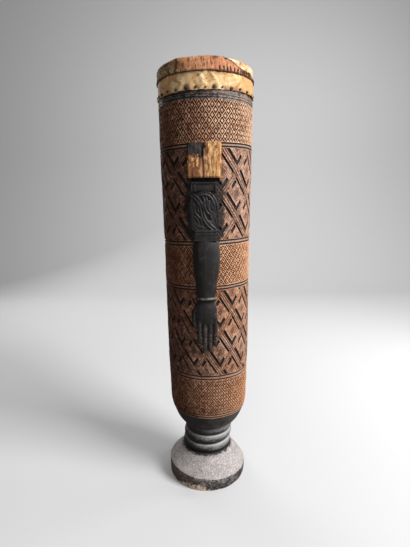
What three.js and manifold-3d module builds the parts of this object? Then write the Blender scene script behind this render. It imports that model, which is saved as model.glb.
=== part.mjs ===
// A tall carved ritual drum: one log hollowed from the top, with a hide head pegged over its mouth.
// Millimetres, +Z up. The origin is on the drum's axis, at the floor, and its front faces -Y.
import * as THREE from 'three';
import { mergeVertices } from 'three/addons/utils/BufferGeometryUtils.js';
import Module from 'manifold-3d';

const wasm = await Module();
wasm.setup();

// Fit
const gap = 0.3; // between touching pieces
const weld = 1e-3; // vertices closer than this are one
const roundSides = 36; // facets round the log

// Foot and neck
const footRadius = 109.5;
const footHeight = 38;
const footShift = -6; // the foot was carved a little to the left of the wall's axis
const footTilt = 0.075; // and its rim drops to the right
const neckRadius = 62.5;
const ringBulge = 5.5; // how far a neck ring stands out
const ringBase = 87;
const ringHeights = [26, 27, 21]; // from the foot up

// Bowl and wall
const bowlBottom = 161;
const bowlTop = 255;
const bowlRadius = 107.6;
const bowlRoundness = 1.85; // exponent of the bowl's curve
const bowlSteps = 6;
const wallTop = 1098.6;
const grooveDepth = 1.8;
const grooveHalf = 3; // half the height of a ring groove

// Sound chamber
const chamberFloor = 205;
const chamberMouth = 104.5;
const chamberFoot = 94.5;

// Hide head and what holds it
const hideThickness = 2;
const skirtBottom = 1031;
const skirtRadius = 119;
const seatRadius = skirtRadius - hideThickness - gap; // the wall under the skirt
const seatBottom = 1026;
const headTop = wallTop + gap + hideThickness;
const bandBottom = 1072;
const bandThickness = 1.7;
const bandLip = 11; // how far the band laps over the head
// the band's torn edge is a slanted line, lowest at 85 degrees
const bandTear = { lowest: 1076, at: 85, rise: 56 };
const laceRadius = 1.2;
const pegCount = 32;
const pegRadius = 3;
const pegDepth = 9.5; // in the wood
const pegProud = 2.6; // above the skirt
const pegLevel = 1037;
const pegPhase = 10; // degrees
const pegWander = 2.5; // degrees

// Arm in relief on the front
const armShift = -4; // its middle, left of the drum's front line
const reliefSeat = 5; // how far a round form is sunk in the wall
const stub = { bottom: 838.5, top: 915, width: 78, proud: 23 };
const cuffUpper = { bottom: 809, top: 829, width: 62, proud: 13 };
const knot = { bottom: 718, top: 811, width: 68, proud: 6 };
// across is one step of the knot's lattice
const strand = { radius: 6.2, proud: 13, across: 14.6, steps: 20 };
const cuffLower = { bottom: 691, top: 717, width: 54, proud: 15 };
const forearm = { bottom: 541, top: 690, upper: 65, lower: 46, proud: 17 };
const bracelet = { bottom: 543, top: 550.5, width: 52, proud: 15 };
const palm = { bottom: 485, top: 543, width: 62, proud: 13 };
const finger = {
  radius: 6, proud: 10, root: 503, middles: [-16, -3.5, 10, 22], tips: [421, 406, 409, 421],
};
const thumb = { radius: 6.2, root: [-31, 512], middle: [-32, 485], tip: [-26, 463] };

const degrees = Math.PI / 180;

// Outer radius of the plain wall at a height.
function wallRadius(z) {
  const stations = [
    [bowlTop, bowlRadius], [338, 110], [450, 112], [690, 113.9], [919, 118.2], [1020, 118.9],
  ];
  for (let i = 1; i < stations.length; i += 1) {
    const [z0, r0] = stations[i - 1];
    const [z1, r1] = stations[i];
    if (z <= z1) return THREE.MathUtils.mapLinear(z, z0, z1, r0, r1);
  }
  return stations.at(-1)[1];
}

function solidOf(geometry) {
  const bare = geometry.index ? geometry.toNonIndexed() : geometry.clone();
  bare.deleteAttribute('normal');
  bare.deleteAttribute('uv');
  const merged = mergeVertices(bare, weld);
  const vertProperties = Float32Array.from(merged.attributes.position.array);
  const triVerts = Uint32Array.from(merged.index.array);
  return new wasm.Manifold(new wasm.Mesh({ numProp: 3, vertProperties, triVerts }));
}

function geometryOf(solid) {
  const mesh = solid.getMesh();
  const geometry = new THREE.BufferGeometry();
  geometry.setAttribute('position', new THREE.BufferAttribute(mesh.vertProperties, 3));
  geometry.setIndex(new THREE.BufferAttribute(mesh.triVerts, 1));
  geometry.computeVertexNormals();
  return geometry;
}

// A profile of [radius, height] pairs turned round the +Z axis.
function turned(profile, sides = roundSides) {
  const points = profile.map(([r, z]) => new THREE.Vector2(r, z));
  const geometry = new THREE.LatheGeometry(points, sides);
  geometry.rotateX(Math.PI / 2);
  return geometry;
}

function footProfile() {
  return [
    [0, 0], [footRadius - 3.5, 0], [footRadius - 1.5, 3], [footRadius, footHeight - 2],
    [footRadius - 4, footHeight + 4], [95, 55], [82, 68], [69, 80],
  ];
}

// Half-round rings, one above the other.
function neckProfile() {
  const points = [];
  let z = ringBase;
  for (const height of ringHeights) {
    points.push([neckRadius, z]);
    points.push([neckRadius + ringBulge * 0.8, z + height * 0.25]);
    points.push([neckRadius + ringBulge * 0.8, z + height * 0.75]);
    z += height;
  }
  return points;
}

// A rounded bowl from the neck out to the wall.
function bowlProfile() {
  const points = [];
  for (let i = 0; i < bowlSteps; i += 1) {
    const t = Math.cos((i / bowlSteps) * Math.PI / 2);
    const z = bowlTop - t * (bowlTop - bowlBottom);
    const out = (1 - t ** bowlRoundness) ** (1 / bowlRoundness);
    points.push([neckRadius + out * (bowlRadius - neckRadius), z]);
  }
  return points;
}

// The wall, with a ring groove at each edge of a carved band.
function wallProfile() {
  const points = [];
  for (const z of [222, 334, 573, 687.5, 915.5, 1016]) {
    const radius = z < bowlTop ? 103.6 : wallRadius(z);
    points.push([radius, z - grooveHalf]);
    points.push([radius - grooveDepth, z]);
    points.push([radius, z + grooveHalf]);
  }
  points.push([skirtRadius - gap, seatBottom - 1]);
  points.push([seatRadius, seatBottom]);
  points.push([seatRadius, wallTop - 2.5]);
  points.push([seatRadius - 2.5, wallTop]);
  points.push([0, wallTop]);
  return points;
}

// The log's hand-carved unevenness: the foot sits off the axis and tilts, and the rings of the wall
// are not quite level.
function settle(geometry) {
  const place = geometry.attributes.position;
  const footEase = (z) => THREE.MathUtils.smoothstep(165 - z, 0, 75);
  const levels = [[200, -1], [334, -1.4], [573, 2.5], [690, 3], [915, 0], [1020, -2.5], [1032, 0]];
  for (let i = 0; i < place.count; i += 1) {
    const x = place.getX(i);
    const y = place.getY(i);
    const z = place.getZ(i);
    let lift = 0;
    if (z < 165) {
      const share = z < footHeight ? z / footHeight : Math.max(0, (90 - z) / (90 - footHeight));
      lift = -footTilt * x * Math.min(share, 1);
    } else {
      for (let k = 1; k < levels.length; k += 1) {
        const [z0, a0] = levels[k - 1];
        const [z1, a1] = levels[k];
        const share = x / Math.hypot(x, y, weld);
        if (z >= z0 && z < z1) lift = THREE.MathUtils.mapLinear(z, z0, z1, a0, a1) * share;
      }
    }
    place.setXYZ(i, x + footShift * footEase(z), y, z + lift);
  }
  return geometry;
}

function logOutside() {
  const lower = [...footProfile(), ...neckProfile()];
  const bowl = bowlProfile().filter(([, z]) => z < 215);
  return solidOf(settle(turned([...lower, ...bowl, ...wallProfile()])));
}

function chamber() {
  return solidOf(turned([
    [0, chamberFloor], [52, chamberFloor + 6], [80, chamberFloor + 26], [chamberFoot, chamberFloor + 62],
    [100, 420], [chamberMouth, 900], [chamberMouth, wallTop + 5], [0, wallTop + 5],
  ]));
}

// An upright block standing out of the wall, its back sunk in the wood.
function reliefBlock({ bottom, top, width, proud }, bevel) {
  const face = new THREE.Shape();
  face.moveTo(-width / 2 + bevel, bottom + bevel);
  face.lineTo(width / 2 - bevel, bottom + bevel);
  face.lineTo(width / 2 - bevel, top - bevel);
  face.lineTo(-width / 2 + bevel, top - bevel);
  face.closePath();
  const back = chamberMouth + 3;
  const front = wallRadius((bottom + top) / 2) + proud;
  const block = new THREE.ExtrudeGeometry(face, {
    depth: front - back - 2 * bevel, bevelThickness: bevel, bevelSize: bevel, bevelSegments: 1,
  });
  block.rotateX(Math.PI / 2);
  block.translate(armShift, -(back + bevel), 0);
  return block;
}

// A round form of changing width, flattened against the wall.
function reliefRound(outline, proud, sides = 16) {
  const middle = (outline[0][1] + outline.at(-1)[1]) / 2;
  const widest = Math.max(...outline.map(([r]) => r));
  const seat = wallRadius(middle) - reliefSeat;
  const form = turned([[0, outline[0][1]], ...outline, [0, outline.at(-1)[1]]], sides);
  form.scale(1, (proud + reliefSeat) / widest, 1);
  form.translate(armShift, -seat, 0);
  return form;
}

// A rounded bar laid on the wall through points [x, z]; it is a finger, the thumb or a strand of the knot.
function reliefBar(points, radius, proud, steps, taper = 0.75) {
  const places = points.map(([x, z]) => {
    const across = x + armShift;
    const out = Math.sqrt(wallRadius(z) ** 2 - across ** 2) + proud - radius;
    return new THREE.Vector3(across, -out, z);
  });
  const curve = new THREE.CatmullRomCurve3(places);
  const shape = new THREE.Shape();
  shape.absellipse(0, 0, radius, radius, 0, 2 * Math.PI, false, Math.PI / 8);
  const bar = new THREE.ExtrudeGeometry(shape, { steps, curveSegments: 4, extrudePath: curve });
  const ends = places.at(-1).clone().lerp(places.at(-2), 0.08);
  const place = bar.attributes.position;
  for (let i = 0; i < place.count; i += 1) {
    const spot = new THREE.Vector3().fromBufferAttribute(place, i);
    if (spot.distanceTo(places.at(-1)) < radius * 1.05) {
      spot.lerp(ends, 1 - taper);
      place.setXYZ(i, spot.x, spot.y, spot.z);
    }
  }
  return bar;
}

function forearmForm() {
  const { bottom, top, upper, lower, proud } = forearm;
  const rise = top - bottom;
  return reliefRound([
    [lower / 2, bottom], [lower / 2 + 1.5, bottom + rise * 0.2], [upper / 2 - 3.5, bottom + rise * 0.5],
    [upper / 2, bottom + rise * 0.8], [upper / 2, top],
  ], proud);
}

function palmForm() {
  const { bottom, top, width, proud } = palm;
  return reliefRound([
    [width / 2 - 6, bottom], [width / 2, bottom + 18], [width / 2 - 3, bottom + 38],
    [forearm.lower / 2 - 2, top],
  ], proud);
}

function handForms() {
  const forms = finger.tips.map((tip, i) => {
    const x = finger.middles[i];
    const line = [[x, finger.root], [x, (finger.root + tip) / 2], [x, tip]];
    return reliefBar(line, finger.radius, finger.proud, 4);
  });
  forms.push(reliefBar([thumb.root, thumb.middle, thumb.tip], thumb.radius, finger.proud, 6));
  return forms;
}

// Steps of the knot's two strands over its lattice, four steps wide and six high: each strand runs
// diagonally, turns back at the sides, and makes one arch.
const knotRoutes = [
  [[0, 6], [2, 4], [4, 2], [2, 0], [0, 2], [2, 4], [4, 6]],
  [[0, 0], [2, 2], [4, 4], [2, 6], [0, 4], [2, 2], [4, 0]],
];

function knotForms() {
  const forms = [reliefBlock(knot, 2)];
  const top = knot.top - strand.radius;
  const down = (knot.top - knot.bottom - 2 * strand.radius) / 6;
  for (const route of knotRoutes) {
    const points = route.map(([i, j]) => [(i - 2) * strand.across, top - j * down]);
    forms.push(reliefBar(points, strand.radius, strand.proud, strand.steps, 1));
  }
  return forms;
}

function armForms() {
  const forms = [
    reliefBlock(stub, 1.5), reliefBlock(cuffUpper, 2), reliefBlock(cuffLower, 2), ...knotForms(),
    forearmForm(), palmForm(), ...handForms(),
  ];
  const half = bracelet.width / 2;
  forms.push(reliefRound([[half - 1, bracelet.bottom], [half, (bracelet.bottom + bracelet.top) / 2],
    [half - 1, bracelet.top]], bracelet.proud));
  return forms;
}

function pegPlace(i) {
  const angle = pegPhase + (i * 360) / pegCount;
  const wander = pegWander * Math.cos((angle + 14) * 4 * degrees);
  return { angle: (angle + wander) * degrees, level: pegLevel + Math.sin(i * 2.4) };
}

// A six-sided pin lying along the radius, from one radius out to another.
function radialPin(i, radius, inner, outer) {
  const { angle, level } = pegPlace(i);
  const pin = new THREE.CylinderGeometry(radius, radius * 0.92, outer - inner, 6);
  pin.translate(0, -(inner + outer) / 2, 0);
  pin.rotateZ(angle);
  pin.translate(0, 0, level);
  return pin;
}

function cutPegHoles(solid, inner, outer) {
  let cut = solid;
  for (let i = 0; i < pegCount; i += 1) {
    cut = cut.subtract(solidOf(radialPin(i, pegRadius + gap, inner, outer)));
  }
  return cut;
}

function drumBody() {
  let body = logOutside();
  for (const form of armForms()) body = body.add(solidOf(form));
  body = body.subtract(chamber());
  return geometryOf(cutPegHoles(body, seatRadius - pegDepth - gap, seatRadius + 2));
}

function drumSkin() {
  const inner = seatRadius + gap;
  const under = wallTop + gap;
  const skin = solidOf(turned([
    [0, under], [inner - 2.5, under], [inner, under - 2.5], [inner, skirtBottom],
    [skirtRadius, skirtBottom], [skirtRadius, headTop - 3], [skirtRadius - 3, headTop], [0, headTop],
  ]));
  return geometryOf(cutPegHoles(skin, seatRadius - 1, skirtRadius + 1));
}

// The half-space above the torn edge, as a big tilted block.
function tearBlock() {
  const { lowest, at, rise } = bandTear;
  const reach = 400;
  const slope = Math.atan2(rise, skirtRadius);
  const block = new THREE.BoxGeometry(reach, reach, reach / 2);
  block.translate(0, 0, reach / 4);
  block.rotateY(slope);
  block.translate(0, 0, lowest + rise);
  block.rotateZ((at - 90) * degrees);
  return block;
}

function rimBand() {
  const inner = skirtRadius + gap;
  const outer = inner + bandThickness;
  const under = headTop + gap;
  const top = under + bandThickness;
  const ring = solidOf(turned([
    [outer - bandLip, under], [inner - 3, under], [inner, under - 3], [inner, bandBottom],
    [outer, bandBottom], [outer, top - 3.5], [outer - 3.5, top], [outer - bandLip, top],
    [outer - bandLip, under],
  ]));
  return geometryOf(ring.subtract(solidOf(tearBlock())));
}

function bandLacing() {
  const ring = new THREE.TorusGeometry(skirtRadius + gap + laceRadius, laceRadius, 6, roundSides);
  ring.translate(0, 0, bandBottom - gap - laceRadius);
  return ring;
}

function matter(name, color, roughness) {
  const material = new THREE.MeshStandardMaterial({ color, roughness, metalness: 0 });
  material.name = name;
  return material;
}

const redWood = matter('carved_wood', 0x5c3626, 0.7);
const hide = matter('hide', 0xcdb183, 0.6);
const darkHide = matter('dark_hide', 0x9a6f4a, 0.7);
const fibre = matter('fibre', 0x2c1d13, 0.9);
const pegWood = matter('peg_wood', 0x23160f, 0.8);

function piece(name, geometry, material) {
  const mesh = new THREE.Mesh(geometry, material);
  mesh.name = name;
  return mesh;
}

const drum = new THREE.Group();
drum.add(piece('drum_body', drumBody(), redWood));
drum.add(piece('drum_skin', drumSkin(), hide));
drum.add(piece('rim_band', rimBand(), darkHide));
drum.add(piece('band_lacing', bandLacing(), fibre));
for (let i = 0; i < pegCount; i += 1) {
  const name = `peg_${String(i + 1).padStart(2, '0')}`;
  const pin = radialPin(i, pegRadius, seatRadius - pegDepth, skirtRadius + pegProud);
  drum.add(piece(name, pin, pegWood));
}

export default drum;
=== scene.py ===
import math
import random

import bpy
from mathutils import Matrix, Vector, noise


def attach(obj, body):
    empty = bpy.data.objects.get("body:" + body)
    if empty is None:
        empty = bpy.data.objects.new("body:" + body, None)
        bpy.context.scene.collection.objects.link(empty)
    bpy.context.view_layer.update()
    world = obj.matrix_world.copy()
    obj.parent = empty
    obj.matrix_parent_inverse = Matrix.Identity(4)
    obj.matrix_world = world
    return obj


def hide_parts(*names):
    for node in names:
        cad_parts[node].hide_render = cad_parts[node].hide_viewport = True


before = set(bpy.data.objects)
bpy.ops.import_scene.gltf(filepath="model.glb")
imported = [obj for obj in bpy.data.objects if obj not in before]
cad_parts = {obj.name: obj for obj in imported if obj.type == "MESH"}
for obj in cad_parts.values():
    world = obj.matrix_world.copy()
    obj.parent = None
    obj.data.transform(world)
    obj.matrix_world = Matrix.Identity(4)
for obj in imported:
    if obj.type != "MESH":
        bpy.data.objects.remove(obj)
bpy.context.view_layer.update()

mm = 0.001


def toObjectMode():
    if bpy.context.mode != "OBJECT":
        bpy.ops.object.mode_set(mode="OBJECT")


def pickOnly(*objects):
    toObjectMode()
    bpy.ops.object.select_all(action="DESELECT")
    for one in objects:
        one.select_set(True)
    bpy.context.view_layer.objects.active = objects[0]


def added(name):
    piece = bpy.context.object
    piece.name = name
    piece.data.name = name
    return piece


def startEdit(piece, kind="FACE"):
    if bpy.context.mode != "OBJECT" and bpy.context.object == piece:
        bpy.ops.mesh.select_mode(type=kind)
        return
    pickOnly(piece)
    bpy.ops.object.mode_set(mode="EDIT")
    bpy.ops.mesh.select_mode(type=kind)


# leaves the piece in edit mode with just those faces selected whose centre passes the test
def pickFaces(piece, wanted):
    startEdit(piece)
    bpy.ops.mesh.select_all(action="DESELECT")
    toObjectMode()
    for face in piece.data.polygons:
        face.select = bool(wanted(face.center))
    bpy.ops.object.mode_set(mode="EDIT")


def applyModifier(piece, kind, **settings):
    pickOnly(piece)
    modifier = piece.modifiers.new(kind.title(), kind)
    for key, value in settings.items():
        setattr(modifier, key, value)
    bpy.ops.object.modifier_apply(modifier=modifier.name)


def remove(piece):
    bpy.data.objects.remove(piece, do_unlink=True)


def mergeClose(piece, distance=0.02 * mm):
    startEdit(piece, "VERT")
    bpy.ops.mesh.select_all(action="SELECT")
    bpy.ops.mesh.remove_doubles(threshold=distance)
    bpy.ops.mesh.normals_make_consistent(inside=False)
    toObjectMode()


def joinSolid(body, other, operation="UNION"):
    applyModifier(body, "BOOLEAN", object=other, operation=operation, solver="MANIFOLD")
    remove(other)


def smoothStep(low, high, value):
    share = min(max((value - low) / (high - low), 0), 1)
    return share * share * (3 - 2 * share)


def between(value, stations):
    low = stations[0]
    for high in stations[1:]:
        if value <= high[0]:
            share = (value - low[0]) / (high[0] - low[0])
            return low[1] + (high[1] - low[1]) * min(max(share, 0), 1)
        low = high
    return stations[-1][1]


# wraps a number that changes over the surface, so that sums on it add their Math nodes
class Value:
    def __init__(self, finish, socket):
        self.finish = finish
        self.socket = socket

    def maths(self, operation, *items):
        return self.finish.node("ShaderNodeMath", {"operation": operation}, dict(enumerate(items)))

    def __add__(self, other):
        return self.maths("ADD", self, other)

    def __radd__(self, other):
        return self.maths("ADD", other, self)

    def __sub__(self, other):
        return self.maths("SUBTRACT", self, other)

    def __rsub__(self, other):
        return self.maths("SUBTRACT", other, self)

    def __mul__(self, other):
        return self.maths("MULTIPLY", self, other)

    def __rmul__(self, other):
        return self.maths("MULTIPLY", other, self)

    def __gt__(self, other):
        return self.maths("GREATER_THAN", self, other)

    def __lt__(self, other):
        return self.maths("LESS_THAN", self, other)

    def ramp(self, low, high):
        settings = {"interpolation_type": "SMOOTHSTEP"}
        return self.finish.node("ShaderNodeMapRange", settings, {0: self, 1: low, 2: high})

    def largest(self, other):
        return self.maths("MAXIMUM", self, other)

    def size(self):
        return self.maths("ABSOLUTE", self)

    def waves(self, length):
        return self.maths("SINE", self * (2 * math.pi / length))


class Finish:
    def __init__(self, name):
        self.material = bpy.data.materials.new(name)
        self.material.use_nodes = True
        self.tree = self.material.node_tree
        self.shader = self.tree.nodes["Principled BSDF"]
        self.place = self.node("ShaderNodeTexCoord", {}, {}, "Object")

    # one node: its type, its settings, then the values or links of its sockets
    def node(self, kind, settings, inputs, output=0):
        made = self.tree.nodes.new(kind)
        for key, value in settings.items():
            setattr(made, key, value)
        for key, value in inputs.items():
            self.feed(made.inputs[key], value)
        return Value(self, made.outputs[output])

    def feed(self, socket, value):
        if isinstance(value, Value):
            self.tree.links.new(value.socket, socket)
        else:
            socket.default_value = value

    def set(self, name, value):
        self.feed(self.shader.inputs[name], value)

    def attribute(self, name):
        return self.node("ShaderNodeAttribute", {"attribute_name": name}, {}, "Fac")

    def axis(self, vector, index):
        return self.node("ShaderNodeSeparateXYZ", {}, {0: vector}, index)

    def stretched(self, x, y, z):
        return self.node("ShaderNodeMapping", {}, {"Vector": self.place, "Scale": (x, y, z)})

    def noise(self, scale, detail=3, rough=0.55, place=None, warp=0.0):
        inputs = {"Vector": place or self.place, "Scale": scale, "Detail": detail, "Roughness": rough}
        return self.node("ShaderNodeTexNoise", {}, {**inputs, "Distortion": warp})

    def mix(self, share, first, second, blend="MIX"):
        settings = {"data_type": "RGBA", "blend_type": blend}
        return self.node("ShaderNodeMix", settings, {0: share, 6: colour(first), 7: colour(second)}, 2)

    def bump(self, height, depth):
        return self.node("ShaderNodeBump", {}, {"Height": height, "Distance": depth, "Strength": 1.0})

    def facing(self):
        return self.axis(self.node("ShaderNodeNewGeometry", {}, {}, "Normal"), 2)


def colour(value):
    return value if isinstance(value, Value) else (*value, 1)


# wall has heights and radii, and levels has heights and how much higher a ring stands on its right
log = {
    "wall": [(255, 107.6), (338, 110), (450, 112), (690, 113.9), (919, 118.2), (1020, 118.9)],
    "bowlBottom": 161, "bowlTop": 255, "bowlRadius": 107.6, "bowlRoundness": 1.85,
    "neckRadius": 62.5, "seatRadius": 116.7, "seatBottom": 1026, "top": 1098.6,
    "footHeight": 38, "footShift": -6, "footTilt": 0.075,
    "levels": [(165, 0), (200, -1), (334, -1.4), (573, 2), (690, 3), (915, 2), (1020, -2.2), (1032, 0)],
}


# radius of the wall's surface at a height, both in mm
def wallRadius(z):
    if z < log["bowlTop"]:
        share = min(max((log["bowlTop"] - z) / (log["bowlTop"] - log["bowlBottom"]), 0), 1)
        power = log["bowlRoundness"]
        out = (1 - share ** power) ** (1 / power)
        return log["neckRadius"] + out * (log["bowlRadius"] - log["neckRadius"])
    return between(z, log["wall"])


# how far the neck and the foot stand off the axis at a height
def footShiftAt(z):
    return log["footShift"] * smoothStep(0, 75, 165 - z)


# the rings of the wall and the foot dip to one side, and the foot sits off the axis
def settled(x, y, z):
    if z < 165:
        low = log["footHeight"]
        share = z / low if z < low else max(0, (90 - z) / (90 - low))
        lift = -log["footTilt"] * x * min(share, 1)
        return Vector((x + footShiftAt(z), y, z + lift))
    lift = between(z, log["levels"]) if z < 1032 else 0
    return Vector((x, y, z + lift * x / max(math.hypot(x, y), 1)))


def onWall(angle, z, out):
    radius = wallRadius(z) + out
    return settled(radius * math.sin(angle), -radius * math.cos(angle), z) * mm


def angleOf(place):
    return math.atan2(place.x, -place.y)


def turnBetween(a, b):
    return (a - b + math.pi) % (2 * math.pi) - math.pi


camera = {"back": 1.0286, "height": 0.781, "pitch": 10.5, "turn": 0.35, "roll": -0.70, "lens": 25.0}


def makeCamera():
    data = bpy.data.cameras.new("camera")
    data.lens = camera["lens"]
    eye = bpy.data.objects.new("camera", data)
    bpy.context.scene.collection.objects.link(eye)
    turn = Matrix.Rotation(math.radians(camera["turn"]), 4, "Z")
    pitch = Matrix.Rotation(math.radians(90 - camera["pitch"]), 4, "X")
    roll = Matrix.Rotation(math.radians(camera["roll"]), 4, "Z")
    eye.matrix_world = Matrix.Translation((0, -camera["back"], camera["height"])) @ turn @ pitch @ roll
    bpy.context.scene.camera = eye
    print("camera")


lights = {
    "lamps": {
        "key": {"place": (2.46, -1.45, 2.55), "aim": (0, 0, 0.6), "size": (1.5, 1.8), "power": 158},
        "fill": {"place": (-0.2, -2.4, 1.5), "aim": (0, 0, 0.6), "size": (1.4, 1.4), "power": 9},
        "rim": {"place": (1.6, 0.5, 1.0), "aim": (0, 0, 0.6), "size": (0.4, 1.2), "power": 8},
        "wall": {"place": (0.6, 1.1, 2.3), "aim": (0.2, 3.4, 0.1), "size": (2.4, 0.8), "power": 29},
        "back": {"place": (-1.5, 2.3, 1.5), "aim": (0, 0, 0.6), "size": (1.2, 1.2), "power": 15},
    },
    "air": 0.10, "airColour": (1, 0.985, 0.955, 1),
}


def makeLights():
    for name, say in lights["lamps"].items():
        data = bpy.data.lights.new(name, "AREA")
        data.shape = "RECTANGLE"
        data.size, data.size_y = say["size"]
        data.energy = say["power"]
        lamp = bpy.data.objects.new(name, data)
        lamp.visible_camera = False
        bpy.context.scene.collection.objects.link(lamp)
        place = Vector(say["place"])
        lamp.location = place
        lamp.rotation_euler = (Vector(say["aim"]) - place).to_track_quat("-Z", "Y").to_euler()
    world = bpy.data.worlds.new("studio")
    bpy.context.scene.world = world
    world.use_nodes = True
    air = world.node_tree.nodes["Background"]
    air.inputs["Color"].default_value = lights["airColour"]
    air.inputs["Strength"].default_value = lights["air"]
    bpy.context.scene.view_settings.view_transform = "Standard"
    print("lights")


ground = {"half": 5, "back": 3.6, "bend": 1.4, "rise": 4.5, "steps": 12,
          "paper": (0.72, 0.72, 0.725), "thrown": (0.2, 0.19, 0.18), "lift": 0.075}


# a floor that bends up into a wall behind
def makeGround():
    half, bend = ground["half"], ground["bend"]
    bpy.ops.object.select_all(action="DESELECT")
    bpy.ops.mesh.primitive_plane_add(size=1, location=(0, 0, 0))
    floor = added("floor")
    startEdit(floor, "EDGE")
    bpy.ops.transform.resize(value=(2 * half, half + ground["back"] - bend, 1))
    bpy.ops.transform.translate(value=(0, (ground["back"] - bend - half) / 2, 0))
    bpy.ops.mesh.select_all(action="DESELECT")
    toObjectMode()
    farY = max(vertex.co.y for vertex in floor.data.vertices)
    for edge in floor.data.edges:
        edge.select = all(abs(floor.data.vertices[i].co.y - farY) < mm for i in edge.vertices)
    bpy.ops.object.mode_set(mode="EDIT")
    turn = math.pi / 2 / ground["steps"]
    for i in range(ground["steps"]):
        slope = turn * (i + 0.5)
        step = 2 * bend * math.sin(turn / 2)
        move = (0, step * math.cos(slope), step * math.sin(slope))
        bpy.ops.mesh.extrude_edges_move(TRANSFORM_OT_translate={"value": move})
    bpy.ops.mesh.extrude_edges_move(TRANSFORM_OT_translate={"value": (0, 0, ground["rise"])})
    toObjectMode()
    bpy.ops.object.shade_smooth()
    bpy.ops.object.transform_apply(location=True, rotation=True, scale=True)
    floor.data.materials.append(groundFinish())
    print("ground")


# pale paper, with a painted pool of light: an emission that only the camera sees makes its left brighter;
# the light that it throws back on the drum is kept down
def groundFinish():
    finish = Finish("ground")
    seen = finish.node("ShaderNodeLightPath", {}, {}, "Is Camera Ray")
    finish.set("Base Color", finish.mix(seen, ground["thrown"], ground["paper"]))
    x, y = (finish.axis(finish.place, i) for i in range(2))
    # painted light: the floor's left and near part glow for the camera only
    left = (1 - x.ramp(-0.5, 0.35)) * (1 - y.ramp(-0.2, 0.9)) * seen
    finish.set("Emission Color", finish.mix(left, (0, 0, 0), (1, 1, 1)))
    finish.set("Emission Strength", ground["lift"])
    finish.set("Roughness", 0.9)
    return finish.material


def wrapRound(sheet):
    for vertex in sheet.data.vertices:
        angle, z, out = vertex.co.x, vertex.co.y / mm, vertex.co.z / mm
        vertex.co = onWall(angle, z, out)


# a flat carved sheet, x the angle times the band's radius and y the height, goes round the log and is
# closed to a solid drum with plain ends
def closeBand(sheet, radius, bottom, top):
    for vertex in sheet.data.vertices:
        vertex.co.x /= radius * mm
    wrapRound(sheet)
    mergeClose(sheet, 0.03 * mm)
    startEdit(sheet, "EDGE")
    bpy.ops.mesh.select_all(action="DESELECT")
    bpy.ops.mesh.select_non_manifold(extend=False, use_wire=False, use_multi_face=False,
                                     use_non_contiguous=False, use_verts=False)
    bpy.ops.mesh.extrude_edges_move()
    bpy.ops.transform.resize(value=(0.6, 0.6, 1), center_override=(0, 0, 0))
    toObjectMode()
    middle = (bottom + top) / 2 * mm
    inner = [v.index for v in sheet.data.vertices if v.select]
    for upper in (False, True):
        startEdit(sheet, "VERT")
        bpy.ops.mesh.select_all(action="DESELECT")
        toObjectMode()
        for i in inner:
            vertex = sheet.data.vertices[i]
            vertex.select = (vertex.co.z > middle) == upper
        bpy.ops.object.mode_set(mode="EDIT")
        bpy.ops.mesh.edge_face_add()
    bpy.ops.mesh.select_all(action="SELECT")
    bpy.ops.mesh.normals_make_consistent(inside=False)
    toObjectMode()
    return sheet


def repeatFlat(sheet, count, step, axis):
    offset = [0, 0, 0]
    offset[axis] = step
    applyModifier(sheet, "ARRAY", count=count, use_relative_offset=False, use_constant_offset=True,
                  constant_offset_displace=offset, use_merge_vertices=True, merge_threshold=0.01 * mm)


def trimFlat(sheet, bottom, top):
    for height, below in ((bottom, True), (top, False)):
        startEdit(sheet)
        bpy.ops.mesh.select_all(action="SELECT")
        bpy.ops.mesh.bisect(plane_co=(0, height * mm, 0), plane_no=(0, 1, 0),
                            clear_inner=below, clear_outer=not below)
    toObjectMode()


# rows of nested diamonds: around and high count them, and each step is an inset and a rise, in mm
wideSteps = [(0.8, 0), (0.7, -1.9), (1.5, 0), (0.8, 1.5)]
fineSteps = [(0.75, 0), (0.5, -1.8), (1.6, 0), (0.6, 1.5)]
lattice = {
    "bands": {
        "latticeUpper": {"bottom": 920, "top": 1012, "around": 48, "high": 4, "steps": wideSteps},
        "latticeMiddle": {"bottom": 581, "top": 678.5, "around": 62, "high": 6, "steps": fineSteps},
        "latticeLower": {"bottom": 229, "top": 326, "around": 46, "high": 5, "steps": fineSteps},
    },
    "lap": 0.5,
}


def flatDiamond(name, wide, tall):
    bpy.ops.object.select_all(action="DESELECT")
    bpy.ops.mesh.primitive_plane_add(size=math.sqrt(2), location=(0, 0, 0))
    tile = added(name)
    startEdit(tile)
    bpy.ops.mesh.select_all(action="SELECT")
    bpy.ops.transform.rotate(value=math.pi / 4, orient_axis="Z", center_override=(0, 0, 0))
    bpy.ops.transform.resize(value=(wide / 2, tall / 2, 1), center_override=(0, 0, 0))
    return tile


# fills a band with copies of a diamond whose middle stands at a start, and wraps it round the log
def fillBand(tile, band, wide, tall, start, rows, lap):
    startEdit(tile)
    bpy.ops.mesh.select_all(action="SELECT")
    bpy.ops.mesh.duplicate_move(TRANSFORM_OT_translate={"value": (wide / 2, tall / 2, 0)})
    bpy.ops.mesh.select_all(action="SELECT")
    bpy.ops.transform.translate(value=start)
    repeatFlat(tile, band["around"], wide, 0)
    repeatFlat(tile, rows, tall, 1)
    trimFlat(tile, band["bottom"] - lap, band["top"] + lap)
    return closeBand(tile, bandRadius(band), band["bottom"], band["top"])


def bandRadius(band):
    return wallRadius((band["bottom"] + band["top"]) / 2)


def latticeBand(name, band):
    wide = 2 * math.pi * bandRadius(band) / band["around"] * mm
    tall = (band["top"] - band["bottom"]) / band["high"] * mm
    sheet = flatDiamond(name, wide, tall)
    for inset, rise in band["steps"]:
        bpy.ops.mesh.inset(thickness=inset * mm, depth=rise * mm)
    start = (0, band["bottom"] * mm - tall / 2, 0)
    return fillBand(sheet, band, wide, tall, start, band["high"] + 2, lattice["lap"])


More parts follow.
